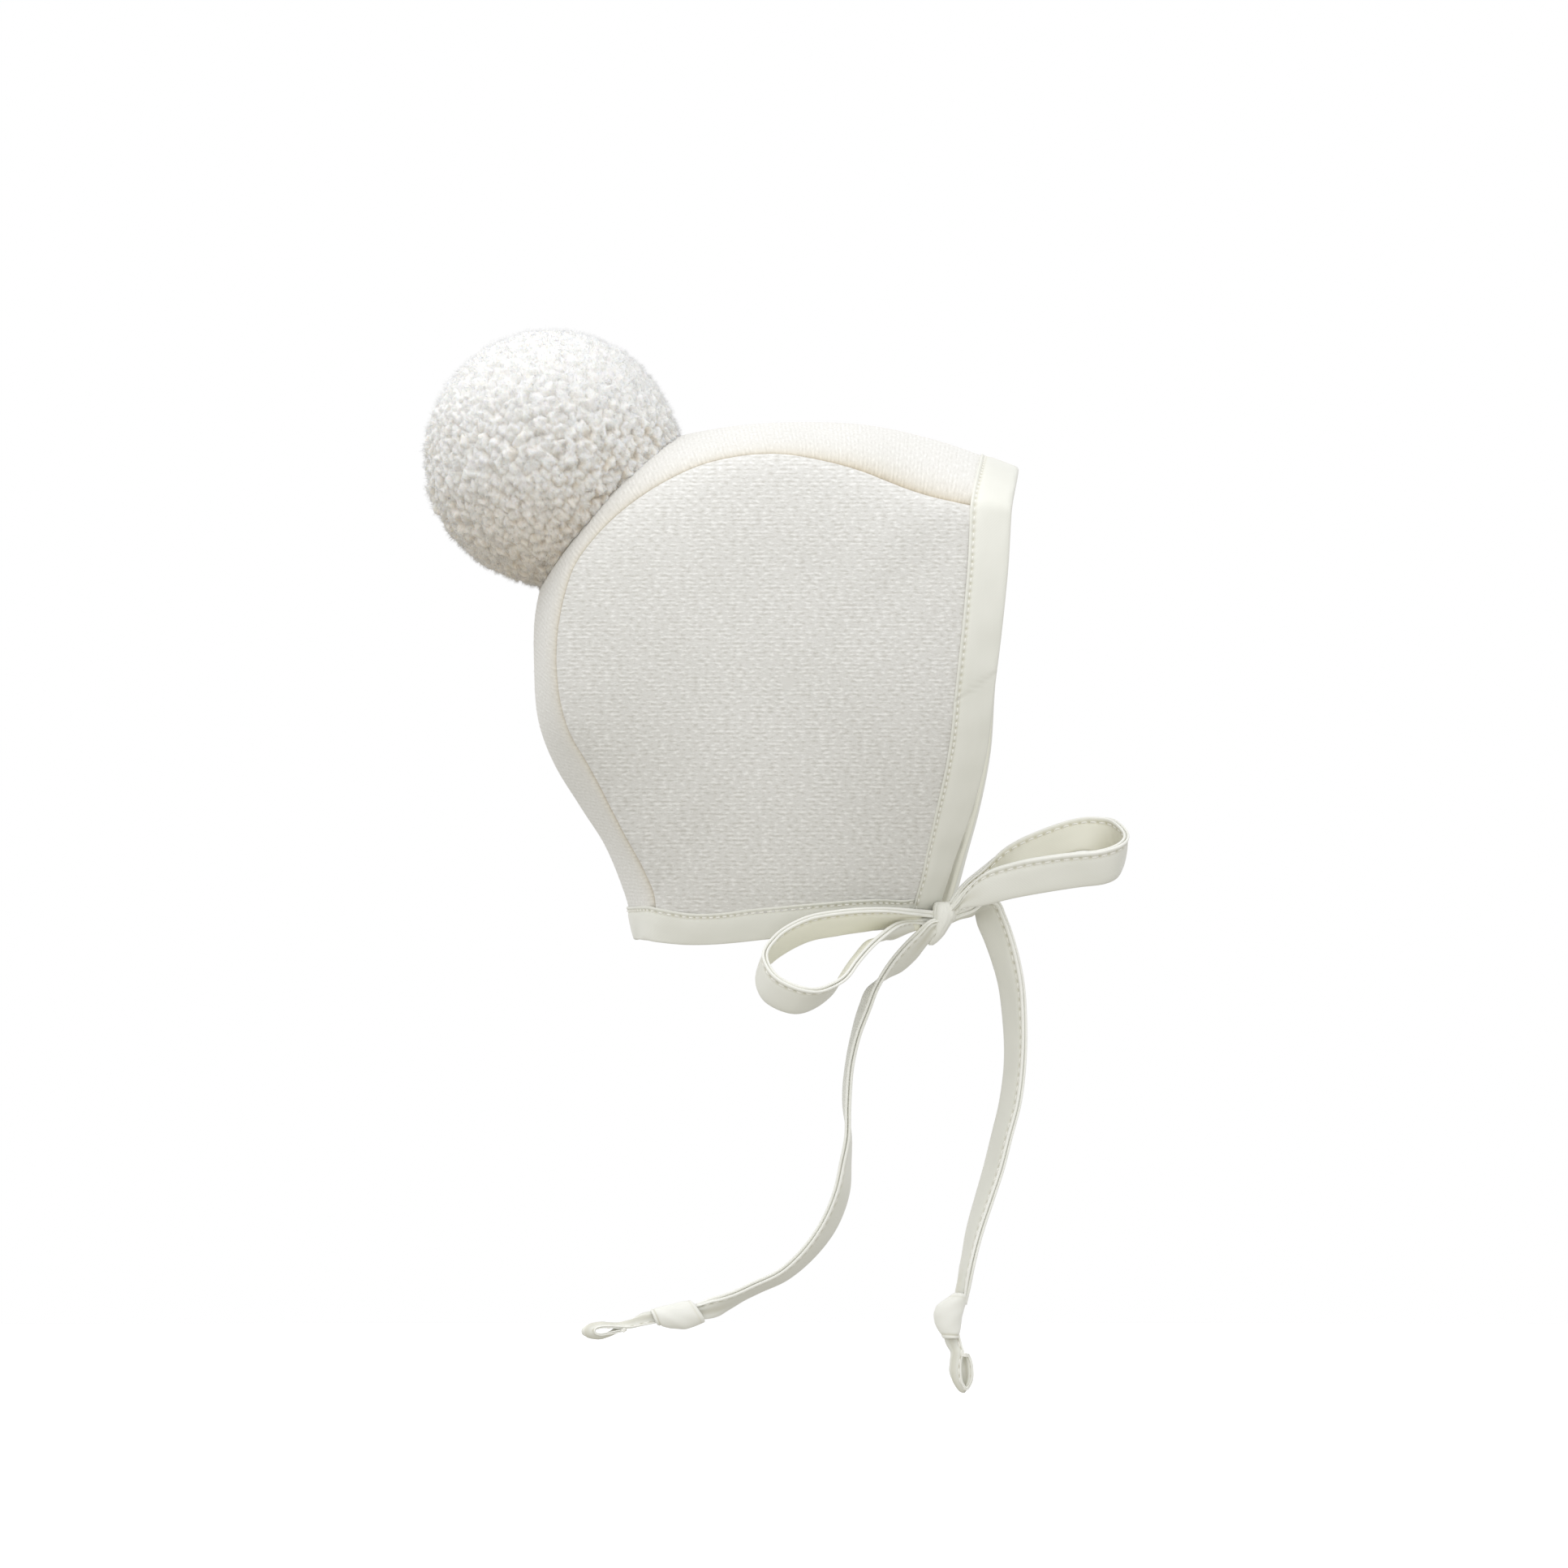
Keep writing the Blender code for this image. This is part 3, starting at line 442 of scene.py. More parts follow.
BACK_TAIL = (
    (-0.004, 0.028, 0.010, -80, 0.80, 0.30),
    (-0.030, 0.037, 0.006, -70, 0.85, 0.36),
    (-0.068, 0.041, -0.028, -48, 0.60, 0.60),
    (-0.106, 0.043, -0.066, -43, 0.50, 0.90),
    (-0.133, 0.045, -0.099, -50, 0.38, 1.00),
    (-0.154, 0.045, -0.132, -60, 0.14, 1.00),
    (-0.176, 0.045, -0.174, 175, 0.20, 1.00),
    (-0.193, 0.042, -0.220, 175, 0.24, 1.00),
    (-0.220, 0.040, -0.290, 175, 0.16, 1.00),
    (-0.238, 0.036, -0.365, 178, 0.12, 1.00),
    (-0.247, 0.033, -0.475, 178, 0.10, 1.00),
    (-0.250, 0.030, -0.559, 0, 0.08, 1.00),
    (-0.263, 0.028, -0.623, -5, 0.22, 1.00),
    (-0.277, 0.026, -0.686, -12, 0.36, 1.00),
    (-0.311, 0.022, -0.771, -25, 0.42, 1.00),
    (-0.370, 0.018, -0.856, -42, 0.36, 1.00),
    (-0.424, 0.014, -0.905, -55, 0.31, 1.00),
    (-0.492, 0.010, -0.938, -66, 0.29, 1.00),
    (-0.545, 0.012, -0.962, -70, 0.34, 0.95),
    (-0.576, 0.012, -0.972, -74, 0.50, 0.80),
    (-0.602, 0.012, -0.978, -76, 0.74, 0.64),
    (-0.645, 0.010, -0.993, -78, 0.94, 0.41),
    (-0.672, 0.008, -0.999, -78, 0.96, 0.38),
)
FRONT_TAIL = (
    (0.012, -0.008, 0.010, -90, 0.10, 0.24),
    (0.036, -0.014, 0.0205, -90, 0.10, 0.32),
    (0.076, -0.030, 0.035, -110, 0.30, 0.60),
    (0.112, -0.050, 0.057, -148, 0.50, 0.90),
    (0.143, -0.062, 0.055, -153, 0.68, 1.00),
    (0.164, -0.066, 0.016, -162, 0.78, 1.00),
    (0.183, -0.066, -0.036, -171, 0.77, 1.00),
    (0.199, -0.064, -0.095, -176, 0.73, 1.00),
    (0.211, -0.062, -0.160, -179, 0.67, 1.00),
    (0.217, -0.060, -0.246, 180, 0.61, 1.00),
    (0.216, -0.056, -0.353, 180, 0.54, 1.00),
    (0.201, -0.050, -0.483, 175, 0.53, 1.00),
    (0.178, -0.046, -0.569, 170, 0.50, 1.00),
    (0.156, -0.042, -0.655, 168, 0.49, 1.00),
    (0.127, -0.036, -0.741, 166, 0.44, 1.00),
    (0.098, -0.030, -0.828, 166, 0.38, 1.00),
    (0.076, -0.026, -0.914, 166, 0.34, 0.92),
    (0.067, -0.034, -0.962, 174, 0.52, 0.60),
    (0.063, -0.038, -0.985, 176, 0.70, 0.47),
    (0.058, -0.038, -1.010, 176, 0.80, 0.40),
)

# Tapes from the chin corners to the knot: share of the way, then ahead and up of the straight line, and the
# width, as shares of the tape's width
NEAR_LEAD = (
    (0.00, 0.06, 0.00, 0.60),
    (0.45, 0.12, -0.14, 0.46),
    (1.00, 0.00, -0.12, 0.30),
)
FAR_LEAD = (
    (0.00, 0.06, 0.00, 0.60),
    (0.30, 0.08, 0.03, 0.55),
    (0.65, 0.04, 0.04, 0.48),
    (1.00, 0.00, -0.04, 0.34),
)

# Half of a folded tape's section, from the groove between its two lips to its folded edge: across and out,
# in metres
TAPE_SECTION = (
    (0.00125, 0.00000),
    (0.00080, 0.00008),
    (0.00030, 0.00017),
    (0.00002, 0.00030),
    (-0.00008, 0.00056),
    (0.00004, 0.00082),
    (0.00030, 0.00098),
    (0.00066, 0.00098),
    (0.00105, 0.00082),
    (0.00142, 0.00056),
    (0.00175, 0.00044),
    (0.00208, 0.00056),
    (0.00265, 0.00076),
    (0.00370, 0.00086),
    (0.00520, 0.00092),
    (0.00700, 0.00092),
    (0.00870, 0.00088),
    (0.00990, 0.00078),
    (0.01070, 0.00056),
    (0.01110, 0.00030),
    (0.01120, 0.00000),
)

# Cuff sections from its mouth to its hem: share of its length, then half-width, half-depth and how far its
# middle lies to the side, as shares of its width
FRONT_CUFF_SECTIONS = (
    (0.00, 0.26, 0.30, 0.110),
    (0.10, 0.34, 0.36, 0.055),
    (0.30, 0.47, 0.42, -0.110),
    (0.50, 0.50, 0.42, -0.137),
    (0.75, 0.44, 0.36, -0.055),
    (1.00, 0.29, 0.28, 0.100),
)
BACK_CUFF_SECTIONS = (
    (0.00, 0.41, 0.40, 0.00),
    (0.12, 0.44, 0.42, 0.03),
    (0.45, 0.47, 0.44, 0.10),
    (0.78, 0.38, 0.36, 0.06),
    (1.00, 0.30, 0.28, 0.00),
)

# Mouth of each cuff from the knot, as shares of the tail's drop, and the way to its hem from the near side
BACK_CUFF = (-0.640, 0.004, -1.009)
BACK_CUFF_AIM = math.radians(-172)
FRONT_CUFF = (0.0334, -0.042, -0.985)
FRONT_CUFF_AIM = math.radians(-101)

# How far each cuff's mouth and hem slant back on its further side, and how far its mouth comes forward, in
# metres
BACK_CUFF_SLANT = (0.0017, 0.0007)
FRONT_CUFF_SLANT = (0.0002, 0.0004)
CUFF_FRONT = 0.0007

# Folded ends of the tails from the hem of the cuff: the columns of the bow's tapes, as shares of the end's
# length
BACK_TIP = (
    (0.078, 0.010, -0.070, 90, 0.97, 0.36),
    (-0.167, 0.040, -0.118, 90, 0.95, 0.39),
    (-0.360, 0.060, -0.148, 90, 0.65, 0.34),
    (-0.480, 0.060, -0.140, 90, 0.25, 0.38),
    (-0.628, 0.060, -0.134, 95, 0.20, 0.40),
    (-0.745, 0.060, -0.144, 120, 0.38, 0.41),
    (-0.802, 0.060, -0.172, 175, 0.94, 0.43),
    (-0.798, 0.060, -0.208, -170, 0.94, 0.43),
    (-0.740, 0.060, -0.232, -140, 0.50, 0.41),
    (-0.640, 0.060, -0.222, -90, 0.15, 0.40),
    (-0.500, 0.060, -0.198, 90, 0.15, 0.38),
    (-0.383, 0.060, -0.172, 90, 0.25, 0.34),
)
FRONT_TIP = (
    (0.149, 0.000, 0.092, 180, 0.98, 0.46),
    (0.194, 0.020, -0.091, 180, 0.95, 0.48),
    (0.222, 0.060, -0.200, 180, 0.92, 0.43),
    (0.194, 0.060, -0.325, 180, 0.90, 0.40),
    (0.189, 0.060, -0.480, 180, 0.90, 0.40),
    (0.204, 0.060, -0.614, 180, 0.75, 0.38),
    (0.264, 0.050, -0.703, -150, 0.50, 0.38),
    (0.329, 0.040, -0.613, 180, 0.66, 0.38),
    (0.347, 0.040, -0.458, 180, 0.80, 0.38),
    (0.324, 0.040, -0.318, 180, 0.72, 0.38),
    (0.284, 0.050, -0.228, 180, 0.50, 0.34),
)

# The stitched tack that closes each folded end: its two ends, from the hem, as shares of the end's length
BACK_TACK = ((-0.440, 0.110, -0.150), (-0.385, 0.110, -0.205))
FRONT_TACK = ((0.160, 0.110, -0.230), (0.305, 0.110, -0.245))

# Loops and tails: node, sections, reach, seed of its creases, and how far its inner face gets painted light
# and shade
BOW_TAPES = (
    ("bow_loop_back", BACK_LOOP, BACK_LOOP_REACH, 51, 1.0),
    ("bow_loop_front", FRONT_LOOP, FRONT_LOOP_REACH, 53, 0.5),
    ("tie_tail_back", BACK_TAIL, BACK_TAIL_DROP, 55, 0.0),
    ("tie_tail_front", FRONT_TAIL, FRONT_TAIL_DROP, 57, 0.0),
)

# Ends of the tails: the cuff's mouth, aim, sections, slants and reach, then the folded end and its tack
TAIL_ENDS = (
    (
        "back", (BACK_CUFF, BACK_CUFF_AIM, BACK_CUFF_SECTIONS, BACK_CUFF_SLANT, BACK_TAIL_DROP),
        BACK_TIP, BACK_TACK,
    ),
    (
        "front", (FRONT_CUFF, FRONT_CUFF_AIM, FRONT_CUFF_SECTIONS, FRONT_CUFF_SLANT, FRONT_TAIL_DROP),
        FRONT_TIP, FRONT_TACK,
    ),
)


def unit(vectors):
    return vectors / np.linalg.norm(vectors, axis=-1, keepdims=True)


def running_length(line):
    return np.concatenate(([0.0], np.cumsum(np.linalg.norm(np.diff(line, axis=0), axis=1))))


def tangents(line):
    return unit(np.gradient(line, axis=0))


def sampled(line, length, steps):
    """The columns of a line at other steps of its running length."""
    return np.stack([np.interp(steps, length, column) for column in line.T], axis=-1)


def at_steps(path, step):
    """A path, whose first three columns are a place, at even steps of its running length."""
    length = running_length(path[:, :3])
    return sampled(path, length, np.linspace(0, length[-1], max(2, round(length[-1] / step) + 1)))


def smooth_rows(rows, count):
    """Even steps along a smooth curve through the rows, whose first three columns are a place."""
    rows = np.array(rows, float)
    knots = running_length(rows[:, :3])
    slopes = np.gradient(rows, knots, axis=0)
    fine = np.linspace(0.0, knots[-1], FINE_STEPS)
    left = np.clip(np.searchsorted(knots, fine, side="right") - 1, 0, len(rows) - 2)
    step = (knots[left + 1] - knots[left])[:, None]
    share = (fine - knots[left])[:, None] / step
    path = (
        rows[left] * (2 * share**3 - 3 * share**2 + 1)
        + rows[left + 1] * (3 * share**2 - 2 * share**3)
        + slopes[left] * step * (share**3 - 2 * share**2 + share)
        + slopes[left + 1] * step * (share**3 - share**2)
    )
    length = running_length(path[:, :3])
    return sampled(path, length, np.linspace(0.0, length[-1], count))


def evened(line, steps):
    """A line smoothed over a few of its steps, with its ends kept."""
    weights = np.hanning(2 * steps + 3)[1:-1]
    weights = weights / weights.sum()
    before = 2 * line[:1] - line[steps:0:-1]
    after = 2 * line[-1:] - line[-2:-steps - 2:-1]
    padded = np.concatenate([before, line, after])
    return np.stack([np.convolve(column, weights, mode="valid") for column in padded.T], axis=1)


def smooth_step(values):
    values = np.clip(values, 0, 1)
    return values * values * (3 - 2 * values)


def bell(values, reach):
    """One at zero, falling away smoothly over a reach."""
    return np.exp(-((values / reach) ** 2))


def waves(x, y, size, seed):
    """A smooth, repeatable ripple between about -1 and 1 over two lengths."""
    rng = np.random.default_rng(seed)
    turns = rng.uniform(0, math.pi, 5)
    phases = rng.uniform(0, math.tau, 5)
    stretches = rng.uniform(0.6, 1.6, 5)
    total = 0.0
    for turn, phase, stretch in zip(turns, phases, stretches):
        way = x * math.cos(turn) + y * math.sin(turn)
        total = total + np.sin(way * math.tau / (size * stretch) + phase)
    return total / 3


def hood_places(rows, side):
    """Rows of depth, height, half-width and lead as places on one side of the hood."""
    rows = np.array(rows, float)
    if rows.shape[1] < 4:
        rows = np.hstack([rows, np.zeros((len(rows), 4 - rows.shape[1]))])
    lead = rows[:, 3] if side > 0 else 0.0
    ahead = (rows[:, 0] + lead - CROWN_AHEAD) * HOOD_DEPTH
    return np.stack([ahead, side * rows[:, 2] * HEAD_WIDTH / 2, (rows[:, 1] - 1) * HOOD_HEIGHT], axis=1)


def hood_line(rows, side, count):
    return smooth_rows(hood_places(rows, side), count)


class SidePanel:
    """The inside of one side panel: a dome over the closed line of its seam, neck and face edges."""

    def __init__(self, side):
        self.side = side
        seam = hood_line(SEAM_LINE, side, SEAM_STEPS)
        neck = hood_line(NECK_LINE, side, NECK_STEPS)
        face = hood_line(FACE_LINE, side, FACE_STEPS)
        self.outline = np.vstack([seam, neck[1:], face[::-1][1:-1]])
        middle = hood_places([(PANEL_MIDDLE[0], PANEL_MIDDLE[1], 1.0)], side)[0]
        self.middle = middle[[0, 2]]
        fine = np.vstack([
            hood_line(SEAM_LINE, side, FINE_STEPS),
            hood_line(NECK_LINE, side, FINE_STEPS)[1:],
            hood_line(FACE_LINE, side, FINE_STEPS)[::-1][1:-1],
        ])
        arms = fine[:, [0, 2]] - self.middle
        bearing = np.arctan2(arms[:, 1], arms[:, 0])
        order = np.argsort(bearing)
        self.bearing = bearing[order]
        self.arm = np.linalg.norm(arms, axis=1)[order]
        self.rim = np.abs(fine[:, 1])[order]
        self.turns = np.radians(np.arange(-180, 180))
        self.soft_arm = self.around(self.arm)
        self.soft_rim = self.around(self.rim)

    def around(self, values):
        """The values round the panel, with the corners of its outline evened out."""
        even = np.interp(self.turns, self.bearing, values, period=math.tau)
        spread = np.arange(-CORNER_SPREAD, CORNER_SPREAD + 1)
        weights = np.cos(spread / CORNER_SPREAD * math.pi / 2) ** 2
        wrapped = np.concatenate([even[-CORNER_SPREAD:], even, even[:CORNER_SPREAD]])
        return np.convolve(wrapped, weights / weights.sum(), mode="valid")

    def dome(self, flat):
        """Places on the skin above points of the middle plane."""
        arms = np.asarray(flat) - self.middle
        bearing = np.arctan2(arms[..., 1], arms[..., 0])
        reach = np.linalg.norm(arms, axis=-1)
        half = HEAD_WIDTH / 2
        share = reach / np.interp(bearing, self.bearing, self.arm, period=math.tau)
        rim = np.interp(bearing, self.bearing, self.rim, period=math.tau)
        soft_share = reach / np.interp(bearing, self.turns, self.soft_arm, period=math.tau)
        soft_rim = np.interp(bearing, self.turns, self.soft_rim, period=math.tau)
        width = half + (rim - half) * share**PANEL_ROUNDNESS
        soft_width = half + (soft_rim - half) * soft_share**PANEL_ROUNDNESS
        sharp = np.clip(share, 0, 1) ** CORNER_SHARPNESS
        width = soft_width * (1 - sharp) + width * sharp
        return np.stack([flat[..., 0], self.side * width, flat[..., 1]], axis=-1)

    def outward(self, flat):
        """Directions square to the skin, away from the head."""
        along = self.dome(flat + [SKIN_STEP, 0]) - self.dome(flat - [SKIN_STEP, 0])
        upward = self.dome(flat + [0, SKIN_STEP]) - self.dome(flat - [0, SKIN_STEP])
        return unit(np.cross(along, upward)) * -self.side

    def inset(self, edge, ways, reach):
        """Points of the middle plane that lie a reach along the skin from the edge."""
        slope = (self.dome(edge + ways * SKIN_STEP) - self.dome(edge))[:, 1] / SKIN_STEP
        return edge + ways * reach / np.sqrt(1 + slope**2)[:, None]


class CentreStrip:
    """The inside of the centre strip, over its length from the forehead to the nape and its width."""

    def __init__(self):
        self.middle = hood_line([(depth, height, 0.0) for depth, height in MIDDLE_LINE], 1, FINE_STEPS)
        self.seam = hood_line(SEAM_LINE, 1, FINE_STEPS)

    def place(self, along, across):
        """Places at a share of the strip's length and, from -1 at the near seam to 1, of its width."""
        steps = np.linspace(0, 1, FINE_STEPS)
        middle = sampled(self.middle, steps, along)
        seam = sampled(self.seam, steps, along)
        bow = np.abs(across)[..., None] ** STRIP_ROUNDNESS
        place = middle + (seam - middle) * bow
        place[..., 1] = across * seam[..., 1]
        return place

    def outward(self, along, across):
        """Directions square to the skin, away from the head."""
        step = 1 / FINE_STEPS
        ahead = self.place(np.clip(along + step, 0, 1), across)
        behind = self.place(np.clip(along - step, 0, 1), across)
        width = self.place(along, across + step) - self.place(along, across - step)
        return unit(np.cross(width, ahead - behind))

    def inset(self, across, reach, from_end):
        """Shares of the length that lie a reach along the skin from the face edge or from the neck edge."""
        shares = np.linspace(0, 1, FINE_STEPS)
        if from_end:
            shares = 1 - shares
        found = []
        for share_across in across:
            line = self.place(shares, np.full(shares.shape, share_across))
            found.append(np.interp(reach, running_length(line), shares))
        return np.array(found)


def end_way(rows, side, run, from_end):
    """The way along a line of the hood from its first or its last point, over a run."""
    line = hood_line(rows, side, FINE_STEPS)
    if from_end:
        line = line[::-1]
    reach = np.linalg.norm(line - line[0], axis=1)
    return unit(line[np.argmax(reach > run)] - line[0])


def panel_edge(panel, rows, band):
    """Edge points of a panel in the middle plane, the ways in from them, and how much longer than its depth
    each way is. The ways turn along the seam at the first point, and along the other edge at the chin."""
    edge = hood_line(rows, panel.side, FINE_STEPS)[:, [0, 2]]
    tangent = unit(np.gradient(edge, axis=0))
    ways = np.stack([-tangent[:, 1], tangent[:, 0]], axis=1)
    ways *= np.sign(np.sum(ways * (panel.middle - edge), axis=1))[:, None]
    at_neck = rows is NECK_LINE
    seam_way = end_way(SEAM_LINE, panel.side, band, at_neck)[[0, 2]]
    chin_way = end_way(FACE_LINE if at_neck else NECK_LINE, panel.side, band, True)[[0, 2]]
    for corner, way in ((edge[0], seam_way), (edge[-1], chin_way)):
        nearness = np.clip(1 - np.linalg.norm(edge - corner, axis=1) / band, 0, 1)[:, None]
        ways = unit(ways * (1 - nearness) + unit(way) * nearness)
    stretch = 1 / np.abs(ways[:, 0] * tangent[:, 1] - ways[:, 1] * tangent[:, 0])
    return edge, ways, stretch


def grid_quads(rows, columns, wrap_rows, wrap_columns):
    """The corners of a grid's faces, as rows and columns that may run past the last one."""
    row_steps = np.arange(rows if wrap_rows else rows - 1)
    column_steps = np.arange(columns if wrap_columns else columns - 1)
    row, column = (steps.ravel() for steps in np.meshgrid(row_steps, column_steps, indexing="ij"))
    corner_rows = np.stack([row, row, row + 1, row + 1], axis=1)
    corner_columns = np.stack([column, column + 1, column + 1, column], axis=1)
    return corner_rows, corner_columns


def new_piece(name, vertices, quads, triangles, material, quad_uvs=None):
    """A mesh with its faces turned outwards, which rides on the bonnet."""
    corners = np.concatenate([quads[:, [0, 1, 2]], quads[:, [0, 2, 3]], triangles.reshape(-1, 3)])
    first, second, third = (vertices[corners[:, i]] for i in range(3))
    if np.sum(first * np.cross(second, third)) < 0:
        quads = quads[:, ::-1]
        triangles = triangles[:, ::-1]
        quad_uvs = None if quad_uvs is None else quad_uvs[:, ::-1]
    mesh = bpy.data.meshes.new(name)
    mesh.from_pydata(vertices.tolist(), [], quads.tolist() + triangles.tolist())
    if quad_uvs is not None:
        flat = np.zeros((len(mesh.loops), 2))
        flat[:4 * len(quads)] = quad_uvs.reshape(-1, 2)
        mesh.uv_layers.new(name="cloth").data.foreach_set("uv", flat.ravel())
    mesh.shade_smooth()
    mesh.materials.append(material)
    piece = bpy.data.objects.new(name, mesh)
    bpy.context.scene.collection.objects.link(piece)
    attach(piece, BODY)
    return piece


def grid_piece(name, grid, cloth, material, wrap_rows=False):
    """A closed skin over a grid whose columns wrap round. A fan round a hub closes each end unless the rows
    wrap too. Cloth gives the place on the flat cloth for each point, with one more column, and one more row
    if the rows wrap."""
    rows, columns = grid.shape[:2]
    corner_rows, corner_columns = grid_quads(rows, columns, wrap_rows, True)
    quads = (corner_rows % rows) * columns + corner_columns % columns
    vertices = grid.reshape(-1, 3)
    triangles = np.zeros((0, 3), int)
    if not wrap_rows:
        around = np.arange(columns)
        after = (around + 1) % columns
        last = (rows - 1) * columns
        first_hub = np.full(columns, len(vertices))
        triangles = np.concatenate([
            np.stack([after, around, first_hub], axis=1),
            np.stack([last + around, last + after, first_hub + 1], axis=1),
        ])
        vertices = np.vstack([vertices, grid[0].mean(axis=0), grid[-1].mean(axis=0)])
    return new_piece(name, vertices, quads, triangles, material, cloth[corner_rows, corner_columns])


def flat_places(run, across):
    """The place on the flat cloth for each step along a piece and each step across it."""
    return np.stack(np.broadcast_arrays(run[:, None], across[None, :]), axis=-1)


def add_attribute(piece, name, values):
    attribute = piece.data.attributes.new(name, "FLOAT", "POINT")
    attribute.data.foreach_set("value", np.asarray(values, np.float32))


def with_hubs(values):
    """Values for the points of a grid, followed by those of the hubs of its two end fans."""
    return np.append(np.ravel(values), [0, 0])


def seam_height(depth):
    """How far the outside of the wool lies above its inside, a depth in from the seam."""
    roll = np.clip(1 - depth / SEAM_ROLL, 0, 1)
    ridge = bell(depth - SEAM_RIDGE_PLACE * SEAM_ROLL, SEAM_ROLL)
    return WOOL - SEAM_DROP * (1 - np.sqrt(1 - roll**2)) + SEAM_RIDGE * ridge


def seam_turn(own, across, depth):
    """The direction in which the wool rises: its own, turned towards the other piece's close to the seam."""
    share = 1 - smooth_step(depth / SEAM_ROLL)
    return unit(own + across * np.reshape(share, (-1, 1)))


def add_side_panel(name, panel, strip, material):
    """A wool panel with its rolled seam edge, as rings from its outside over the edge to its inside."""
    seam = hood_line(SEAM_LINE, panel.side, PANEL_SEAM_STEPS)
    neck = hood_line(NECK_LINE, panel.side, PANEL_NECK_STEPS)
    face = hood_line(FACE_LINE, panel.side, PANEL_FACE_STEPS)
    outline = np.vstack([seam, neck[1:], face[::-1][1:-1]])
    at_seam = (np.arange(len(outline)) < len(seam)).astype(float)
    from_ends = np.minimum(running_length(seam), running_length(seam[::-1])[::-1])
    shoulder = np.zeros(len(outline))
    shoulder[:len(seam)] = SHOULDER * smooth_step(from_ends / SHOULDER_START)
    strip_out = np.zeros((len(outline), 3))
    seam_run = np.linspace(0, 1, len(seam))
    strip_out[:len(seam)] = strip.outward(seam_run, np.full(len(seam), float(panel.side)))
    arms = outline[:, [0, 2]] - panel.middle
    reach = np.linalg.norm(arms, axis=1)
    along = running_length(outline)
    depths = [np.full(len(outline), depth) for depth in EDGE_DEPTHS]
    inner_shares = np.linspace(0, 1, PANEL_RINGS)[1:-1] ** PANEL_RING_SPACING
    depths += [EDGE_DEPTHS[-1] + (reach - EDGE_DEPTHS[-1]) * share for share in inner_shares]
    outside = []
    inside = []
    for depth in depths:
        flat = panel.middle + arms * (1 - (depth + SEAM_GAP) / reach)[:, None]
        place, out = panel.dome(flat), panel.outward(flat)
        pucker = SEAM_PUCKER * waves(along, depth, SEAM_PUCKER_SIZE, 4) * np.exp(-depth / SEAM_PUCKER_REACH)
        swell = PANEL_SWELL * waves(flat[:, 0], flat[:, 1], PANEL_SWELL_SIZE, 3) + pucker * at_seam
        height = seam_height(depth) * at_seam + WOOL * (1 - at_seam)
        height = height + swell * np.clip(depth / PANEL_SWELL_START, 0, 1)
        height = height + shoulder * depth / SHOULDER_REACH * np.exp(1 - depth / SHOULDER_REACH)
        lift = EDGE_LIFT * np.clip(1 - depth / EDGE_LIFT_REACH, 0, 1) * at_seam
        turned = seam_turn(out, strip_out, depth)
        outside.append(place + turned * height[:, None])
        inside.append(place + turned * lift[:, None])
    grid = panel_rings(outside, inside)
    cloth = np.concatenate([grid, grid[:, :1]], axis=1)[:, :, [0, 2]]
    piece = grid_piece(name, grid, cloth, material)
    # Painted shade: the wool turns tan close to the seam
    tint = [PANEL_SEAM_SHADE * np.exp(-depth / (SEAM_SHADE_REACH / 2)) * at_seam for depth in depths]
    add_attribute(piece, "seam", with_hubs(panel_rings(tint, tint)))
    return piece, np.array(outside[::-1])


def panel_rings(outside, inside):
    """Rings over the outside and round the edge. Every other ring is enough further along the inside."""
    edge = len(EDGE_DEPTHS)
    return np.array(outside[::-1] + inside[:edge] + inside[edge::2])


def add_centre_strip(name, strip, panels, material):
    """The wool strip over the crown, as closed sections from the forehead to the nape."""
    along = np.linspace(0, 1, STRIP_ROWS)
    depths = np.concatenate([EDGE_DEPTHS, np.linspace(EDGE_DEPTHS[-1], STRIP_HALF_WIDTH, STRIP_COLUMNS)[1:]])
    shares = 1 - (depths + SEAM_GAP) / (STRIP_HALF_WIDTH + SEAM_GAP)
    shares = np.concatenate([-shares, shares[-2::-1]])
    depths = np.concatenate([depths, depths[-2::-1]])
    lift = EDGE_LIFT * np.clip(1 - depths / EDGE_LIFT_REACH, 0, 1)
    panel_out = []
    for panel in panels:
        seam = hood_line(SEAM_LINE, panel.side, len(along))
        panel_out.append(panel.outward(seam[:, [0, 2]]))
    length = along * running_length(strip.middle)[-1]
    outside = []
    inside = []
    for index, (share, run) in enumerate(zip(along, length)):
        shares_along = np.full(shares.shape, share)
        place, out = strip.place(shares_along, shares), strip.outward(shares_along, shares)
        beside = np.where(shares[:, None] < 0, panel_out[0][index], panel_out[1][index])
        turned = seam_turn(out, beside, depths)
        swell = STRIP_SWELL * waves(shares * STRIP_HALF_WIDTH, run, STRIP_SWELL_SIZE, 5)
        swell = swell * np.clip(depths / STRIP_SWELL_START, 0, 1)
        dip = NAPE_DIP * bell(length[-1] - run - NAPE_DIP_PLACE, NAPE_DIP_REACH)
        height = seam_height(depths) + swell - dip * smooth_step(depths / NAPE_DIP_START)
        outside.append(place + turned * height[:, None])
        inside.append((place + turned * lift[:, None])[::-1])
    outside = np.array(outside)
    grid = np.concatenate([outside, np.array(inside)], axis=1)
    across = np.concatenate([shares, shares[::-1], shares[:1]]) * STRIP_HALF_WIDTH
    piece = grid_piece(name, grid, flat_places(length, across)[..., ::-1], material)
    depths = np.concatenate([depths, depths[::-1]])
    # Painted shade: a tan line at the seam, and a wider band of painted shadow that is widest over the crown
    band = SEAM_SHADE_BAND_LEAST + (1 - SEAM_SHADE_BAND_LEAST) * bell(along - SEAM_SHADE_BAND_PLACE, SEAM_SHADE_BAND_REACH)
    tint = STRIP_SEAM_SHADE * np.exp(-depths / SEAM_SHADE_REACH)
    tint = tint + np.outer(band, SEAM_SHADE_BAND * np.exp(-depths / SEAM_SHADE_BAND_WIDTH))
    add_attribute(piece, "seam", with_hubs(tint))
    return piece, outside


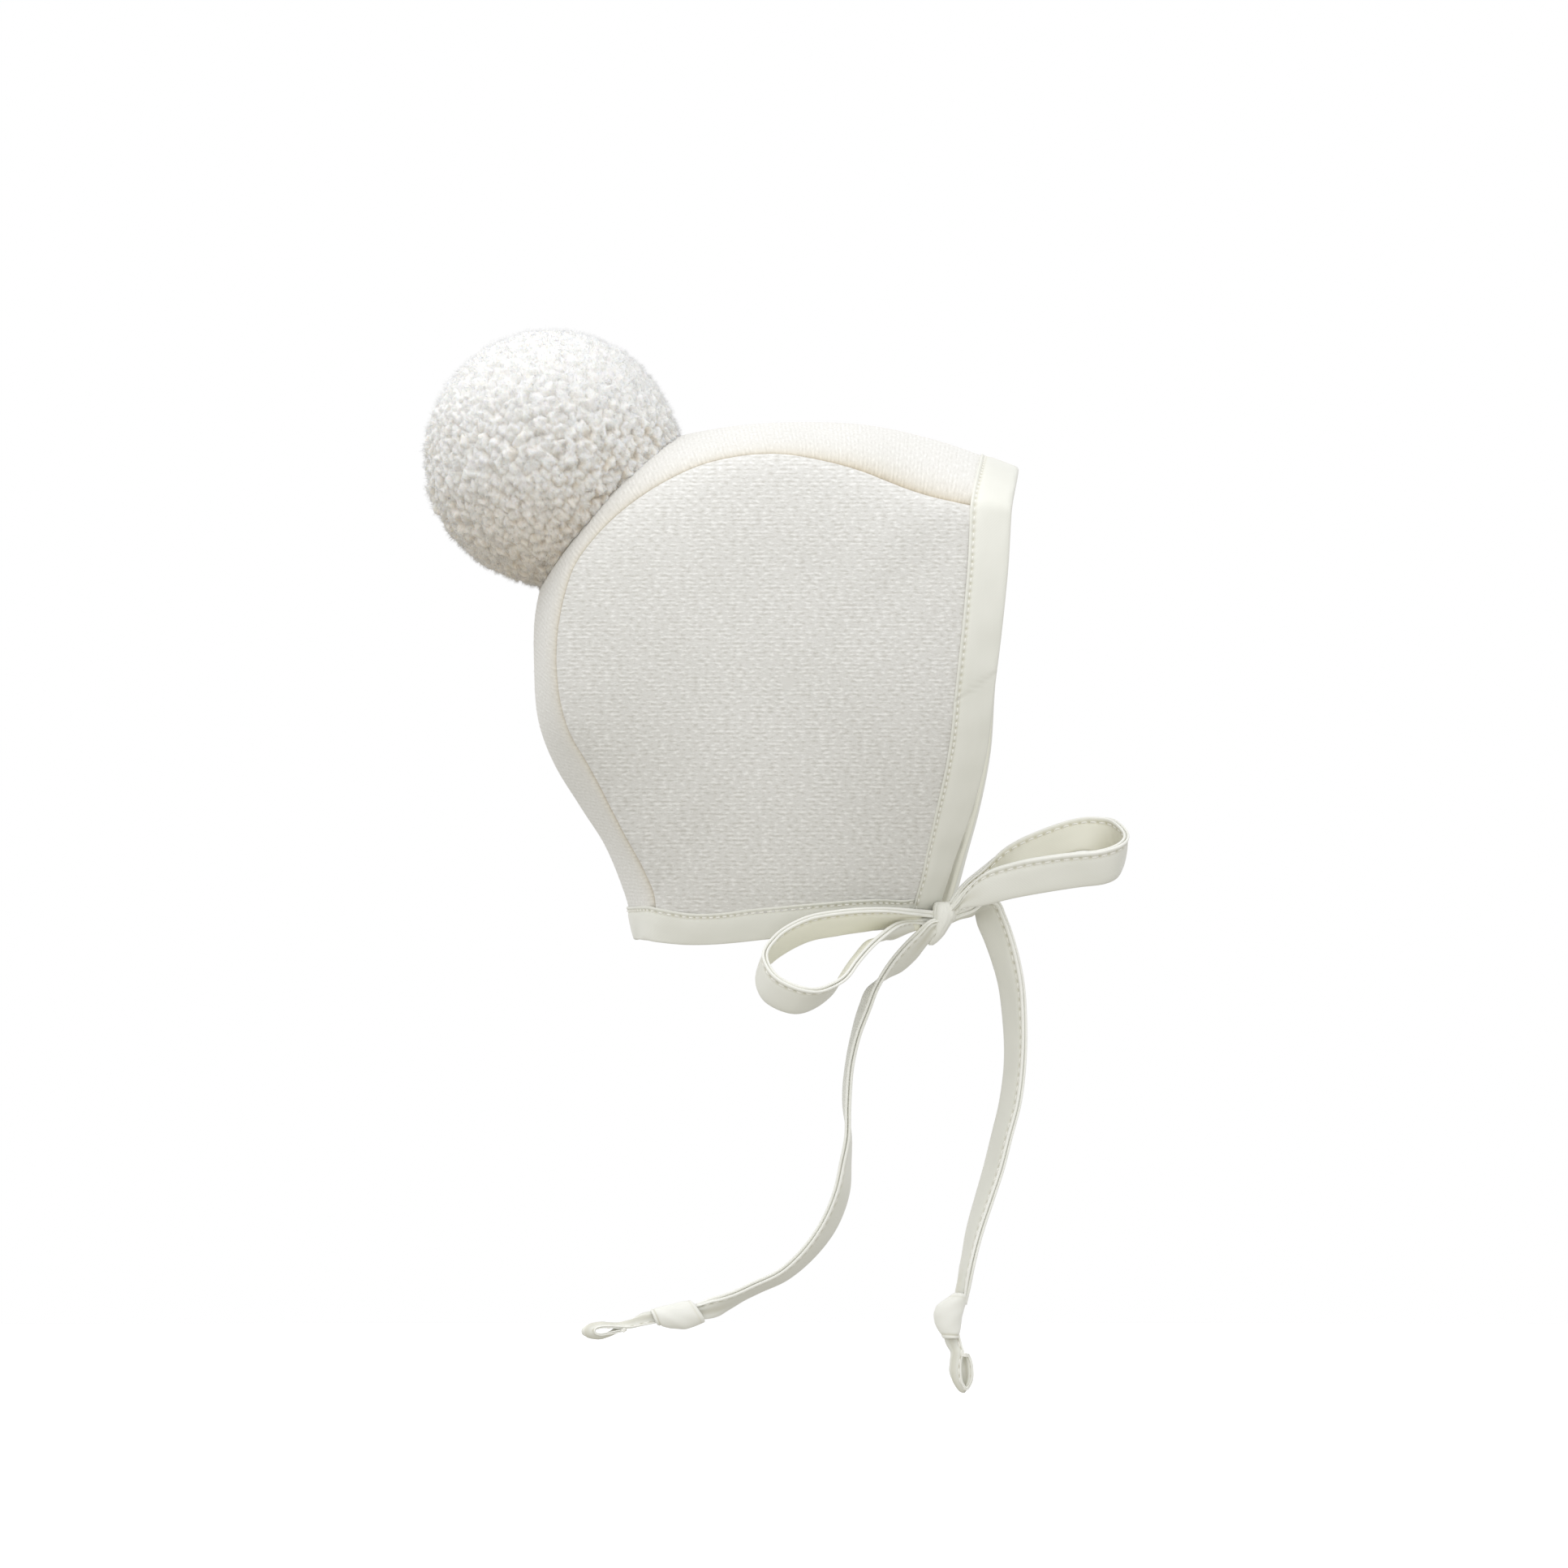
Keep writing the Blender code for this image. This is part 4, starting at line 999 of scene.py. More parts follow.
def scatter(grid, count, rng):
    """Even random places on a grid's skin, with the directions square to it."""
    rows, columns = grid_quads(*grid.shape[:2], False, False)
    corners = grid[rows, columns]
    across = np.cross(corners[:, 1] - corners[:, 0], corners[:, 3] - corners[:, 0])
    area = np.linalg.norm(across, axis=1)
    picks = rng.choice(len(area), count, p=area / area.sum())
    share = rng.random((count, 2, 1))
    low = corners[picks, 0] * (1 - share[:, 0]) + corners[picks, 1] * share[:, 0]
    high = corners[picks, 3] * (1 - share[:, 0]) + corners[picks, 2] * share[:, 0]
    return low * (1 - share[:, 1]) + high * share[:, 1], unit(across[picks])


def around_ways(ways, radius):
    """Three corners round the foot of each way."""
    side = unit(np.cross(ways, FIBRE_TURN))
    other = unit(np.cross(ways, side))
    turns = np.arange(3) * math.tau / 3
    ring = side[:, None] * np.cos(turns)[None, :, None] + other[:, None] * np.sin(turns)[None, :, None]
    return ring * radius


def add_fibres(name, roots, ways, bends, radius, material):
    """Thin three-sided fibres that bend and taper to a point, one from each root."""
    ring = around_ways(ways, radius)
    base = roots[:, None] + ring
    middle = (roots + ways * 0.55 + bends)[:, None] + ring * 0.8
    tip = (roots + ways + bends * 2.2)[:, None]
    corners = np.concatenate([base, middle, tip], axis=1)
    start = np.arange(len(roots))[:, None] * corners.shape[1]
    quads = np.concatenate([start + [i, (i + 1) % 3, 3 + (i + 1) % 3, 3 + i] for i in range(3)])
    triangles = np.concatenate([start + [3 + i, 3 + (i + 1) % 3, 6] for i in range(3)] + [start + [2, 1, 0]])
    return new_piece(name, corners.reshape(-1, 3), quads, triangles, material)


def add_wisps(name, roots, ways, radius, material):
    """Short fibres, each a slim spike on three corners."""
    corners = np.concatenate([roots[:, None] + around_ways(ways, radius), (roots + ways)[:, None]], axis=1)
    start = np.arange(len(roots))[:, None] * corners.shape[1]
    triangles = np.concatenate([start + [i, (i + 1) % 3, 3] for i in range(3)] + [start + [2, 1, 0]])
    return new_piece(name, corners.reshape(-1, 3), np.zeros((0, 4), int), triangles, material)


def add_fuzz(name, skin, count, material):
    """Short wool fibres that lie almost flat on the skin."""
    roots, out = scatter(skin, count, RNG)
    middle = skin.reshape(-1, 3).mean(axis=0)
    out = out * np.sign(np.sum(out * (roots - middle), axis=1))[:, None]
    loose = RNG.normal(size=(count, 3))
    flat = unit(loose - out * np.sum(loose * out, axis=1)[:, None])
    rise = RNG.uniform(*FUZZ_RISE, (count, 1))
    length = FUZZ_LENGTH * RNG.uniform(*FUZZ_SHARES, (count, 1))
    ways = unit(out * rise + flat) * length
    bends = np.cross(ways, out) * RNG.uniform(-FUZZ_BEND, FUZZ_BEND, (count, 1))
    return add_fibres(name, roots - out * FUZZ_SINK, ways, bends, FUZZ_RADIUS, material)


def dash_skins(line, out, length, pitch):
    """Rings round the thread of each dash along one run."""
    ring_steps = np.array(DASH_RINGS)
    girth = np.sqrt(1 - ring_steps**4)
    sides = np.arange(THREAD_SIDES) * math.tau / THREAD_SIDES
    middles = np.arange(math.ceil(length[0] / pitch) + 0.5, length[-1] / pitch) * pitch
    way = unit(sampled(tangents(line), length, middles))
    up = unit(sampled(out, length, middles))
    side = unit(np.cross(way, up))
    half = pitch * DASH_SHARE / 2
    rise = THREAD_RADIUS * (DASH_RISE - DASH_ARCH * ring_steps**2)
    centre = sampled(line, length, middles)[:, None] + way[:, None] * (ring_steps * half)[None, :, None]
    centre = centre + up[:, None] * rise[None, :, None]
    ring = side[:, None] * np.cos(sides)[None, :, None] + up[:, None] * np.sin(sides)[None, :, None]
    return centre[:, :, None] + ring[:, None] * (girth * THREAD_RADIUS)[None, :, None, None]


def add_stitches(name, runs, pitch, material):
    """Thread dashes along each run of places, on a skin whose outward directions are given with it."""
    skin = np.concatenate([dash_skins(line, out, length, pitch) for line, out, length in runs])
    count, rings, around = skin.shape[:3]
    hubs = skin[:, [0, -1]].mean(axis=2)
    vertices = np.concatenate([skin.reshape(count, -1, 3), hubs], axis=1).reshape(-1, 3)
    stride = rings * around + 2
    rows, columns = grid_quads(rings, around, False, True)
    start = (np.arange(count) * stride)[:, None, None]
    quads = start + (rows * around + columns % around)[None]
    turn = np.arange(around)
    after = (turn + 1) % around
    last = (rings - 1) * around
    triangles = start + np.concatenate([
        np.stack([after, turn, np.full(around, rings * around)], axis=1),
        np.stack([last + turn, last + after, np.full(around, stride - 1)], axis=1),
    ])[None]
    return new_piece(name, vertices, quads.reshape(-1, 4), triangles.reshape(-1, 3), material)


def pits(run, pitch):
    """How deep the cloth is pulled in along a row of stitches, between 0 and 1."""
    off = (run / pitch + 0.5) % 1 - 0.5
    return np.exp(-((off * pitch / PIT_REACH) ** 2))


def stitch_shade(run, off, pitch):
    """The shade over a row of stitches, for each step along it and each distance to its side."""
    strength = STITCH_SHADE_LEAST + (1 - STITCH_SHADE_LEAST) * pits(run, pitch)
    return np.outer(strength, bell(np.asarray(off), STITCH_SHADE_REACH))


def binding_frame(panels, strip, rows, band, stop, reach):
    """Places on the inside of the wool a reach in from an edge, at even steps from the near chin corner to
    the far one, and the directions square to the wool there."""
    sides = []
    for panel in panels:
        line = hood_line(rows, panel.side, FINE_STEPS)
        length = running_length(line)[-1] - stop
        count = round(length / BINDING_STEP)
        picks = np.linspace(0, length / (length + stop) * (FINE_STEPS - 1), count).round().astype(int)
        edge, ways, stretch = (values[picks] for values in panel_edge(panel, rows, band))
        flat = panel.inset(edge, ways * stretch[:, None], reach)
        sides.append((panel.dome(flat), panel.outward(flat)))
    (near_place, near_out), (far_place, far_out) = sides
    across = np.linspace(-1, 1, round(2 * STRIP_HALF_WIDTH / BINDING_STEP))
    along = strip.inset(across, reach, rows is NECK_LINE)
    places = np.vstack([near_place[:0:-1], strip.place(along, across), far_place[1:]])
    normals = np.vstack([near_out[:0:-1], strip.outward(along, across), far_out[1:]])
    return evened(places, PLACE_SMOOTHING), unit(evened(normals, NORMAL_SMOOTHING))


def binding_heights(band):
    """The outside of the folded tape from its inner edge to the fold: reach in from the fold, and height on
    the wool. A small ridge lies at the inner edge, and the stitches pull a groove beside it."""
    stitch = band - STITCH_INSET
    return (
        (band, 0.00003),
        (band + 0.00012, 0.00025),
        (band + 0.00004, 0.00052),
        (band - 0.00020, 0.00068),
        (band - 0.00050, 0.00066),
        (band - 0.00085, 0.00050),
        (stitch, 0.00034),
        (stitch - 0.00035, 0.00044),
        (stitch - 0.00085, 0.00062),
        (stitch - 0.0016, 0.00075),
        (stitch - 0.0028, 0.00085),
        (band * 0.5, 0.00090),
        (band * 0.35, 0.00090),
        (band * 0.22, 0.00090),
        (band * 0.11, 0.00088),
        (band * 0.03, 0.00084),
    )


def tucked_ends(run):
    """The neck tape flattens where its ends go under the face tape."""
    from_ends = np.minimum(run, run[-1] - run)
    return NECK_TUCKED + (1 - NECK_TUCKED) * smooth_step(from_ends / NECK_TUCK)


def diagonal_join(place, reach, side):
    """The slanting seam where two lengths of tape are joined, on the near side of the face binding."""
    if side < 0:
        return 0.0
    away = (place[:, 2] - np.interp(reach, (0.0, FACE_BAND), JOIN_HEIGHTS)) * JOIN_SLANT
    step = JOIN_STEP / (1 + np.exp(-away / JOIN_STEP_REACH)) - JOIN_GROOVE * bell(away, JOIN_GROOVE_REACH)
    return np.where(place[:, 1] < 0, step, 0.0)


def add_binding(name, panels, strip, rows, band, stop, material, thread, shape=None):
    """Tape folded over an edge of the wool, with a row of stitches on both its sides."""
    outer = binding_heights(band)
    reaches = {reach for reach, _ in outer} | {0.0} | {band * share for share in LINER_SHARES}
    frames = {reach: binding_frame(panels, strip, rows, band, stop, max(reach, 0.0)) for reach in reaches}
    edge, edge_out = frames[0.0]
    inward = unit(frames[band * 0.5][0] - edge)
    run = running_length(edge)
    tucked = tucked_ends(run) if rows is NECK_LINE else 1.0
    columns = []
    on_cloth = []
    from_stitches = []
    inside = []
    stitch_lines = []

    def add_column(places, across, from_stitch, is_inside):
        columns.append(places)
        on_cloth.append(across)
        from_stitches.append(from_stitch)
        inside.append(float(is_inside))

    def add_face(reach, height, side):
        place, out = frames[reach]
        from_stitch = reach - band + STITCH_INSET
        height = np.full(len(run), height) * tucked
        ripple = BINDING_RIPPLE * waves(run, reach, BINDING_RIPPLE_SIZE, 11)
        pull = np.clip(height / BINDING_PULL_HEIGHT, 0, 1) * ripple
        pull = pull - PIT_DEPTH * pits(run, BINDING_PITCH) * bell(from_stitch, BINDING_PULL_REACH)
        if shape is not None:
            pull = pull + shape(place, reach, side)
        lift = WOOL + height + pull if side > 0 else -(height + pull)
        add_column(place + out * lift[:, None], side * (reach + 0.002), from_stitch, side < 0)
        if abs(from_stitch) < 1e-9:
            stitch_lines.append((place + out * (lift - pull * side)[:, None], out * side, run))

    for reach, height in outer:
        add_face(reach, height, 1)
    half = WOOL / 2 + outer[-1][1]
    roll = np.full(len(run), BINDING_ROLL)
    if rows is NECK_LINE:
        roll = NECK_ROLL + NECK_WAVE * (0.5 + 0.5 * waves(run, 0, NECK_WAVE_SIZE, 13)) * tucked
    for angle in np.radians(FOLD_ANGLES):
        lift = WOOL / 2 + half * math.cos(angle)
        places = edge + edge_out * lift - inward * (roll * math.sin(angle))[:, None]
        add_column(places, 0.0018 * math.cos(angle), band, angle > math.pi / 2)
    for reach, height in outer[::-1]:
        add_face(reach, height, -1)
    for side, shares in ((-1, LINER_SHARES), (1, LINER_SHARES[::-1])):
        lift = WOOL + LINER_GAP if side > 0 else -LINER_GAP
        for share in shares:
            place, out = frames[band * share]
            add_column(place + out * lift, side * band * share, band, False)
    cloth = flat_places(run, np.array(on_cloth + on_cloth[:1]))
    piece = grid_piece(name, np.stack(columns, axis=1), cloth, material)
    # Painted shade along the stitches, darkest in their pits
    add_attribute(piece, "painted_shade", with_hubs(stitch_shade(run, from_stitches, BINDING_PITCH)))
    # Painted light: the binding's inner side is made lighter
    add_attribute(piece, "inside", with_hubs(np.tile(inside, len(run))))
    return piece, add_stitches(name + "_stitches", stitch_lines, BINDING_PITCH, thread)


def tape_frame(rows, reach, start, step=TAPE_STEP):
    """A tape's stitched edge at even steps, the way across it, the way out of its face, and its width."""
    rows = np.array(rows, float)
    aim = np.radians(rows[:, 3])
    seen = rows[:, 4]
    places = start + rows[:, :3] * [reach, -reach, reach]
    back = np.where(seen < 0, -1, 1) * np.sqrt(1 - seen**2)
    across = np.stack([np.abs(seen) * np.cos(aim), back, np.abs(seen) * np.sin(aim)], axis=1)
    path = smooth_rows(np.hstack([places, across, rows[:, 5:6]]), FINE_STEPS)
    path = at_steps(path, step)
    line = evened(path[:, :3], 2)
    way = unit(path[:, 3:6])
    out = unit(np.cross(tangents(line), way))
    return line, way, out, path[:, 6] * TAPE_WIDTH


def tape_outline():
    """A folded tape's whole section, from its lips over its front to the fold and back: across and out."""
    half_across, half_out = np.array(TAPE_SECTION).T
    across = np.concatenate([half_across, half_across[-2:0:-1]])
    return across, np.concatenate([half_out, -half_out[-2:0:-1]])


def tape_grid(line, way, out, width, thin, seed):
    """Sections of folded tape along a frame. A gathered stretch keeps its lips, thickens and creases."""
    run = running_length(line)
    share = width / TAPE_WIDTH
    across, lift = tape_outline()
    flat = across / TAPE_WIDTH
    slack = np.clip(1 - share, 0, 1)[:, None]
    drift = CREASE_DRIFT * waves(run, 0, CREASE_SIZE, seed)[:, None]
    crease = CREASE * slack * np.sin(math.pi * CREASE_COUNT * flat[None, :] + drift)
    swell = BELLY * waves(run[:, None], across[None, :], BELLY_SIZE, seed + 1)
    belly = 1 + swell * np.sin(math.pi * np.clip(flat, 0, 1))
    height = lift[None, :] * thin * belly * (1 + GATHER_SWELL * slack)
    height = height + crease * np.clip(flat, 0, 1)[None, :]
    pulled = bell(across - TAPE_STITCH, TAPE_PULL_REACH) * np.sign(lift)
    height = height - PIT_DEPTH * thin * pits(run, TAPE_PITCH)[:, None] * pulled[None, :]
    sideways = way[:, None] * (across[None, :] * share[:, None])[..., None]
    half = len(TAPE_SECTION)
    on_cloth = np.concatenate([across[:half], 2 * TAPE_WIDTH - across[half:], [2 * TAPE_WIDTH]])
    return line[:, None] + sideways + out[:, None] * height[..., None], flat_places(run, on_cloth)


def stitch_runs(grid, out, run, thin, trim):
    """The stitched lines on both faces of a tape, without its gathered ends."""
    front = [across for across, _ in TAPE_SECTION].index(TAPE_STITCH)
    back = grid.shape[1] - front
    kept = slice(trim[0], len(grid) - trim[1])
    raised = out * (PIT_DEPTH * thin * pits(run, TAPE_PITCH))[:, None]
    return [
        ((grid[:, front] + raised)[kept], out[kept], run[kept]),
        ((grid[:, back] - raised)[kept], -out[kept], run[kept]),
    ]


def add_tape(name, frame_lines, material, thread, thin=1.0, seed=21, trim=(14, 14), inside=0.0):
    """A folded tape with its stitches. Inside is how far its face towards the middle of a loop gets painted
    light and shade.
    """
    line, way, out, width = frame_lines
    run = running_length(line)
    grid, cloth = tape_grid(line, way, out, width, thin, seed)
    piece = grid_piece(name + "_cloth", grid, cloth, material)
    across, lift = tape_outline()
    # Painted shade along the stitches and in the hollows of the creases where the tape is gathered
    slack = np.clip(CREASE_SHADE * (1 - width / TAPE_WIDTH), 0, CREASE_SHADE_MOST)
    hollows = np.clip(-np.sin(math.pi * CREASE_COUNT * across / TAPE_WIDTH), 0, 1) * (across > CREASE_START)
    shade = np.maximum(stitch_shade(run, across - TAPE_STITCH, TAPE_PITCH), np.outer(slack, hollows))
    inward = np.sign(np.sum(out * (line.mean(axis=0) - line), axis=1))
    # Painted highlight on the tape's lips
    painted_highlight = np.tile(np.clip(LIP_HIGHLIGHT_FULL - across / LIP_HIGHLIGHT_REACH, 0, 1), (len(line), 1))
    # Painted light and shade on the face towards the middle of a loop
    tint = inside * np.clip(np.outer(inward, np.sign(lift)), 0, 1) * (1 - painted_highlight)
    for key, values in (("painted_highlight", painted_highlight), ("painted_shade", shade), ("inside", tint)):
        add_attribute(piece, key, with_hubs(values))
    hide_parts(name)
    runs = stitch_runs(grid, out, run, thin, trim)
    return piece, add_stitches(name + "_stitches", runs, TAPE_PITCH, thread)


def lead_frame(rows, side, knot):
    """The frame of the tape from a chin corner to the knot."""
    rows = np.array(rows, float)
    upward = end_way(FACE_LINE, side, TAPE_WIDTH, True)
    start = chin_corner(side) + upward * rows[0, 3] * TAPE_WIDTH / 2 + LEAD_START
    places = start + np.outer(rows[:, 0], knot - start)
    places += np.stack([rows[:, 1], 0 * rows[:, 1], rows[:, 2]], axis=1) * TAPE_WIDTH
    path = smooth_rows(np.hstack([places, rows[:, 3:4]]), FINE_STEPS)
    path = at_steps(path, TAPE_STEP)
    width = path[:, 3] * TAPE_WIDTH
    line = path[:, :3] - upward * width[:, None] / 2
    way = np.repeat(upward[None], len(line), axis=0)
    return line, way, unit(np.cross(tangents(line), way)), width


def chin_corner(side):
    return hood_places(NECK_LINE[-1:], side)[0]


def add_knot(knot, material):
    """The knot: the tape wrapped over its front, its folded edge behind, and the end of the wrap ahead."""
    around = np.linspace(0, math.tau, KNOT_SIDES, endpoint=False)
    across = np.sign(np.cos(around)) * np.abs(np.cos(around)) ** KNOT_ROUNDNESS
    outward = -np.sign(np.sin(around)) * np.abs(np.sin(around)) ** KNOT_ROUNDNESS
    pieces = []
    for name, rows in (("knot_wrap", KNOT_WRAP), ("knot_under", KNOT_UNDER)):
        rings = []
        for height, behind, ahead, out in smooth_rows(rows, KNOT_RINGS):
            width = (behind + ahead) / 2
            x = across * width + (ahead - behind) / 2
            y = outward * out
            fold = KNOT_GROOVE * bell(x + behind - KNOT_LIP, KNOT_LIP_REACH)
            for share in KNOT_CREASES:
                drift = (share + 0.05 * math.sin(height * 500 + share * 9)) * 2 * width
                fold = fold + KNOT_CREASE_SHARE * KNOT_GROOVE * bell(x + behind - drift, KNOT_CREASE_REACH)
            fold = fold * np.clip(width / 0.0018, 0, 1) * (y < 0)
            rings.append(knot + np.stack([x, y + fold, np.full(len(around), height)], axis=1))
        rings = np.array(rings)
        girth = np.linspace(0, KNOT_GIRTH, len(around) + 1)
        piece = grid_piece(name, rings, flat_places(running_length(rings[:, KNOT_FRONT]), girth), material)
        # Painted highlight over the whole knot
        add_attribute(piece, "painted_highlight", np.full(len(piece.data.vertices), KNOT_HIGHLIGHT))
        pieces.append(piece)
    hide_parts("tie_knot")
    return pieces


def add_cuff(name, place, aim, sections, slant, reach, knot, material):
    """A sleeve of tape: its outside from the mouth to the hem, over the rim, and back along its inside."""
    mouth = knot + np.array([place[0], -place[1], place[2]]) * reach
    axis = np.array([math.cos(aim), 0.0, math.sin(aim)])
    hem = mouth + axis * CUFF_LENGTH
    depth = np.array([0.0, 1.0, 0.0])
    side = np.cross(axis, depth)
    around = np.linspace(0, math.tau, CUFF_SIDES, endpoint=False)
    sections = np.array(sections)
    sections = evened(sampled(sections, sections[:, 0], np.linspace(0, 1, CUFF_STEPS)), CUFF_SMOOTHING)
    outside = []
    inside = []
    for share in CUFF_ROWS:
        half_width, half_depth, shift = sampled(sections[:, 1:], sections[:, 0], share) * CUFF_WIDTH
        groove = HEM_GROOVE * bell(share - HEM_PLACE, HEM_GROOVE_REACH)
        twist = around * 0.004 + share * 0.008
        ripple = CUFF_RIPPLE * waves(twist, share * CUFF_LENGTH, CUFF_RIPPLE_SIZE, 41)
        wrap = CUFF_WRAP * np.clip(np.sin((around - 3.9 - share * 1.2) / 2), 0, 1) ** 30
        ring = mouth + (hem - mouth) * share + side * shift
        forward = np.interp(share, (0, 1), slant) * np.cos(around)
        forward = forward - CUFF_FRONT * (1 - share) * np.sin(around)
        for rings, skin in ((outside, 0.0), (inside, CUFF_SKIN)):
            girth = -groove + ripple + wrap - skin
            rings.append(
                ring
                - np.outer(forward, axis)
                + np.outer(np.cos(around) * (half_width + girth), side)
                + np.outer(np.sin(around) * (half_depth + girth), depth)
            )
    hem_rim = (outside[-1] + inside[-1]) / 2 + axis * CUFF_RIM
    mouth_rim = (outside[0] + inside[0]) / 2 - axis * CUFF_RIM
    grid = np.array(outside + [hem_rim] + inside[::-1] + [mouth_rim])
    run = np.concatenate([CUFF_ROWS, [1.02], 2.04 - CUFF_ROWS[::-1], [2.06, 2.08]]) * CUFF_LENGTH
    round_it = np.append(around, math.tau) * CUFF_WIDTH / 2
    piece = grid_piece(name, grid, flat_places(run, round_it), material, wrap_rows=True)
    # Painted shade in the hem's groove and just inside the mouth
    shade = sum(strength * bell(CUFF_ROWS - row, width) for strength, row, width in (HEM_SHADE, MOUTH_SHADE))
    # Painted highlight over the whole cuff
    add_attribute(piece, "painted_highlight", np.full(len(piece.data.vertices), CUFF_HIGHLIGHT))
    add_attribute(piece, "painted_shade", np.repeat(np.append(shade, np.zeros(len(CUFF_ROWS) + 2)), len(around)))
    return piece, hem


def add_tack(name, ends, hem, thread):
    """A few close threads across the place where a folded end is closed."""
    first, last = hem + np.array(ends) * [TIP_LENGTH, -TIP_LENGTH, TIP_LENGTH]
    beside = unit(np.cross(last - first, [0, 1.0, 0])) * THREAD_RADIUS * TACK_SPACING
    runs = []
    for row in range(TACK_ROWS):
        line = np.linspace(first, last, TACK_STEPS) + beside * (row - (TACK_ROWS - 1) / 2)
        runs.append((line, np.tile([0, -1.0, 0], (TACK_STEPS, 1)), running_length(line)))
    return add_stitches(name, runs, np.linalg.norm(last - first) * 0.999, thread)


def even_directions(count):
    """Even directions over a ball, in a spiral."""
    number = np.arange(count) + 0.5
    height = 1 - 2 * number / count
    turn = number * math.pi * (3 - math.sqrt(5))
    ring = np.sqrt(1 - height**2)
    return np.stack([ring * np.cos(turn), ring * np.sin(turn), height], axis=1)


def ball_ripple(directions, size, seed):
    """Smooth, repeatable ripples between about -1 and 1 over the pompom, one value for each axis."""
    rng = np.random.default_rng(seed)
    total = np.zeros(directions.shape)
    for _ in range(6):
        turns = unit(rng.normal(size=(3, 3))) * POMPOM_RADIUS * math.tau / size
        total += np.sin(directions @ turns.T + rng.uniform(0, math.tau, 3))
    return total / 3


def lump_share(directions):
    """How far the lumps stand out: less over the top and underneath, where the yarn ends lie closer."""
    up = directions[:, 2]
    top = LUMP_SOFT_TOP * smooth_step((up - 0.2) / 0.5)
    return LUMP_SHARE - top - LUMP_SOFT_BASE * smooth_step((-up - 0.4) / 0.4)


class Lumps:
    """The ends of yarn that touch in lumps: the way of each, its rise, its tone and its lean."""

    def __init__(self):
        self.ways = unit(even_directions(LUMP_COUNT) + RNG.normal(scale=LUMP_SCATTER, size=(LUMP_COUNT, 3)))
        self.rises = RNG.normal(scale=LUMP_UNEVEN, size=LUMP_COUNT)
        self.tones = RNG.uniform(0, 1, LUMP_COUNT)
        self.leans = RNG.normal(scale=0.5, size=(LUMP_COUNT, 3))

    def over(self, directions):
        """The height over the even ball in each direction, and the number of the yarn end there."""
        warped = unit(directions + ball_ripple(directions, LUMP_WARP_SIZE, 71) * LUMP_WARP / POMPOM_RADIUS)
        heights = np.empty(len(directions))
        owners = np.empty(len(directions), int)
        for low in range(0, len(directions), LUMP_BLOCK):
            block = slice(low, low + LUMP_BLOCK)
            away = 2 * POMPOM_RADIUS**2 * (1 - warped[block] @ self.ways.T)
            level = self.rises[None, :] - LUMP_FALL * away
            owners[block] = level.argmax(axis=1)
            heights[block] = level.max(axis=1)
        return heights * lump_share(directions), owners

    def depth(self, heights, owners):
        """How deep each place lies below the end of its yarn, from 0 to 1."""
        return np.clip((self.rises[owners] - heights) / LUMP_DEPTH, 0, 1)

    def tint(self, piece, depth, owners, directions, repeat=1):
        """Gives a piece its values for the yarn's colour and its painted shade, the same for each few of its
        points.
        """
        # Painted shade, warmer and darker on the underside
        shade = np.clip(-directions[:, 2] * 1.1 - 0.1, 0, 1)
        for name, values in (("depth", depth), ("tone", self.tones[owners]), ("shade", shade)):
            add_attribute(piece, name, np.repeat(values, repeat))


def above_crown(strip, centre, directions, reach):
    """Reaches from the pompom's middle, cut back where they would enter the crown, how far each then ends
    above the wool, and the way out of the wool there."""
    crown = np.linspace(*CROWN_SPAN, CROWN_STEPS)
    facings = strip.outward(crown, np.zeros(CROWN_STEPS))
    line = strip.place(crown, np.zeros(CROWN_STEPS)) + facings * WOOL
    for _ in range(5):
        tips = centre + directions * reach[:, None]
        nearest = np.concatenate([
            np.argmin(np.hypot(line[:, 0] - part[:, :1], line[:, 2] - part[:, 2:]), axis=1)
            for part in np.array_split(tips, 20)
        ])
        facing = facings[nearest]
        across = np.clip(tips[:, 1] / CROWN_HALF_WIDTH, -1, 1)
        skin = strip.place(crown[nearest], across) + facing * (WOOL - ROOT_SINK)
        under = np.sum((skin - tips) * facing, axis=1)
        slope = np.sum(directions * facing, axis=1)
        cut = (under > 0) & (slope < -LEAST_SLOPE)
        reach = reach - np.where(cut, np.minimum(under / np.maximum(-slope, LEAST_SLOPE), reach), 0)
    return reach, -under, facing


def yarn_reach(strip, centre, directions, reach):
    """Reaches as above the crown, with the yarn ends that lie next to the wool spread out over it."""
    reach, above, _ = above_crown(strip, centre, directions, reach)
    return above_crown(strip, centre, directions, reach + ROOT_BULGE * np.exp(-above / ROOT_BULGE_REACH))


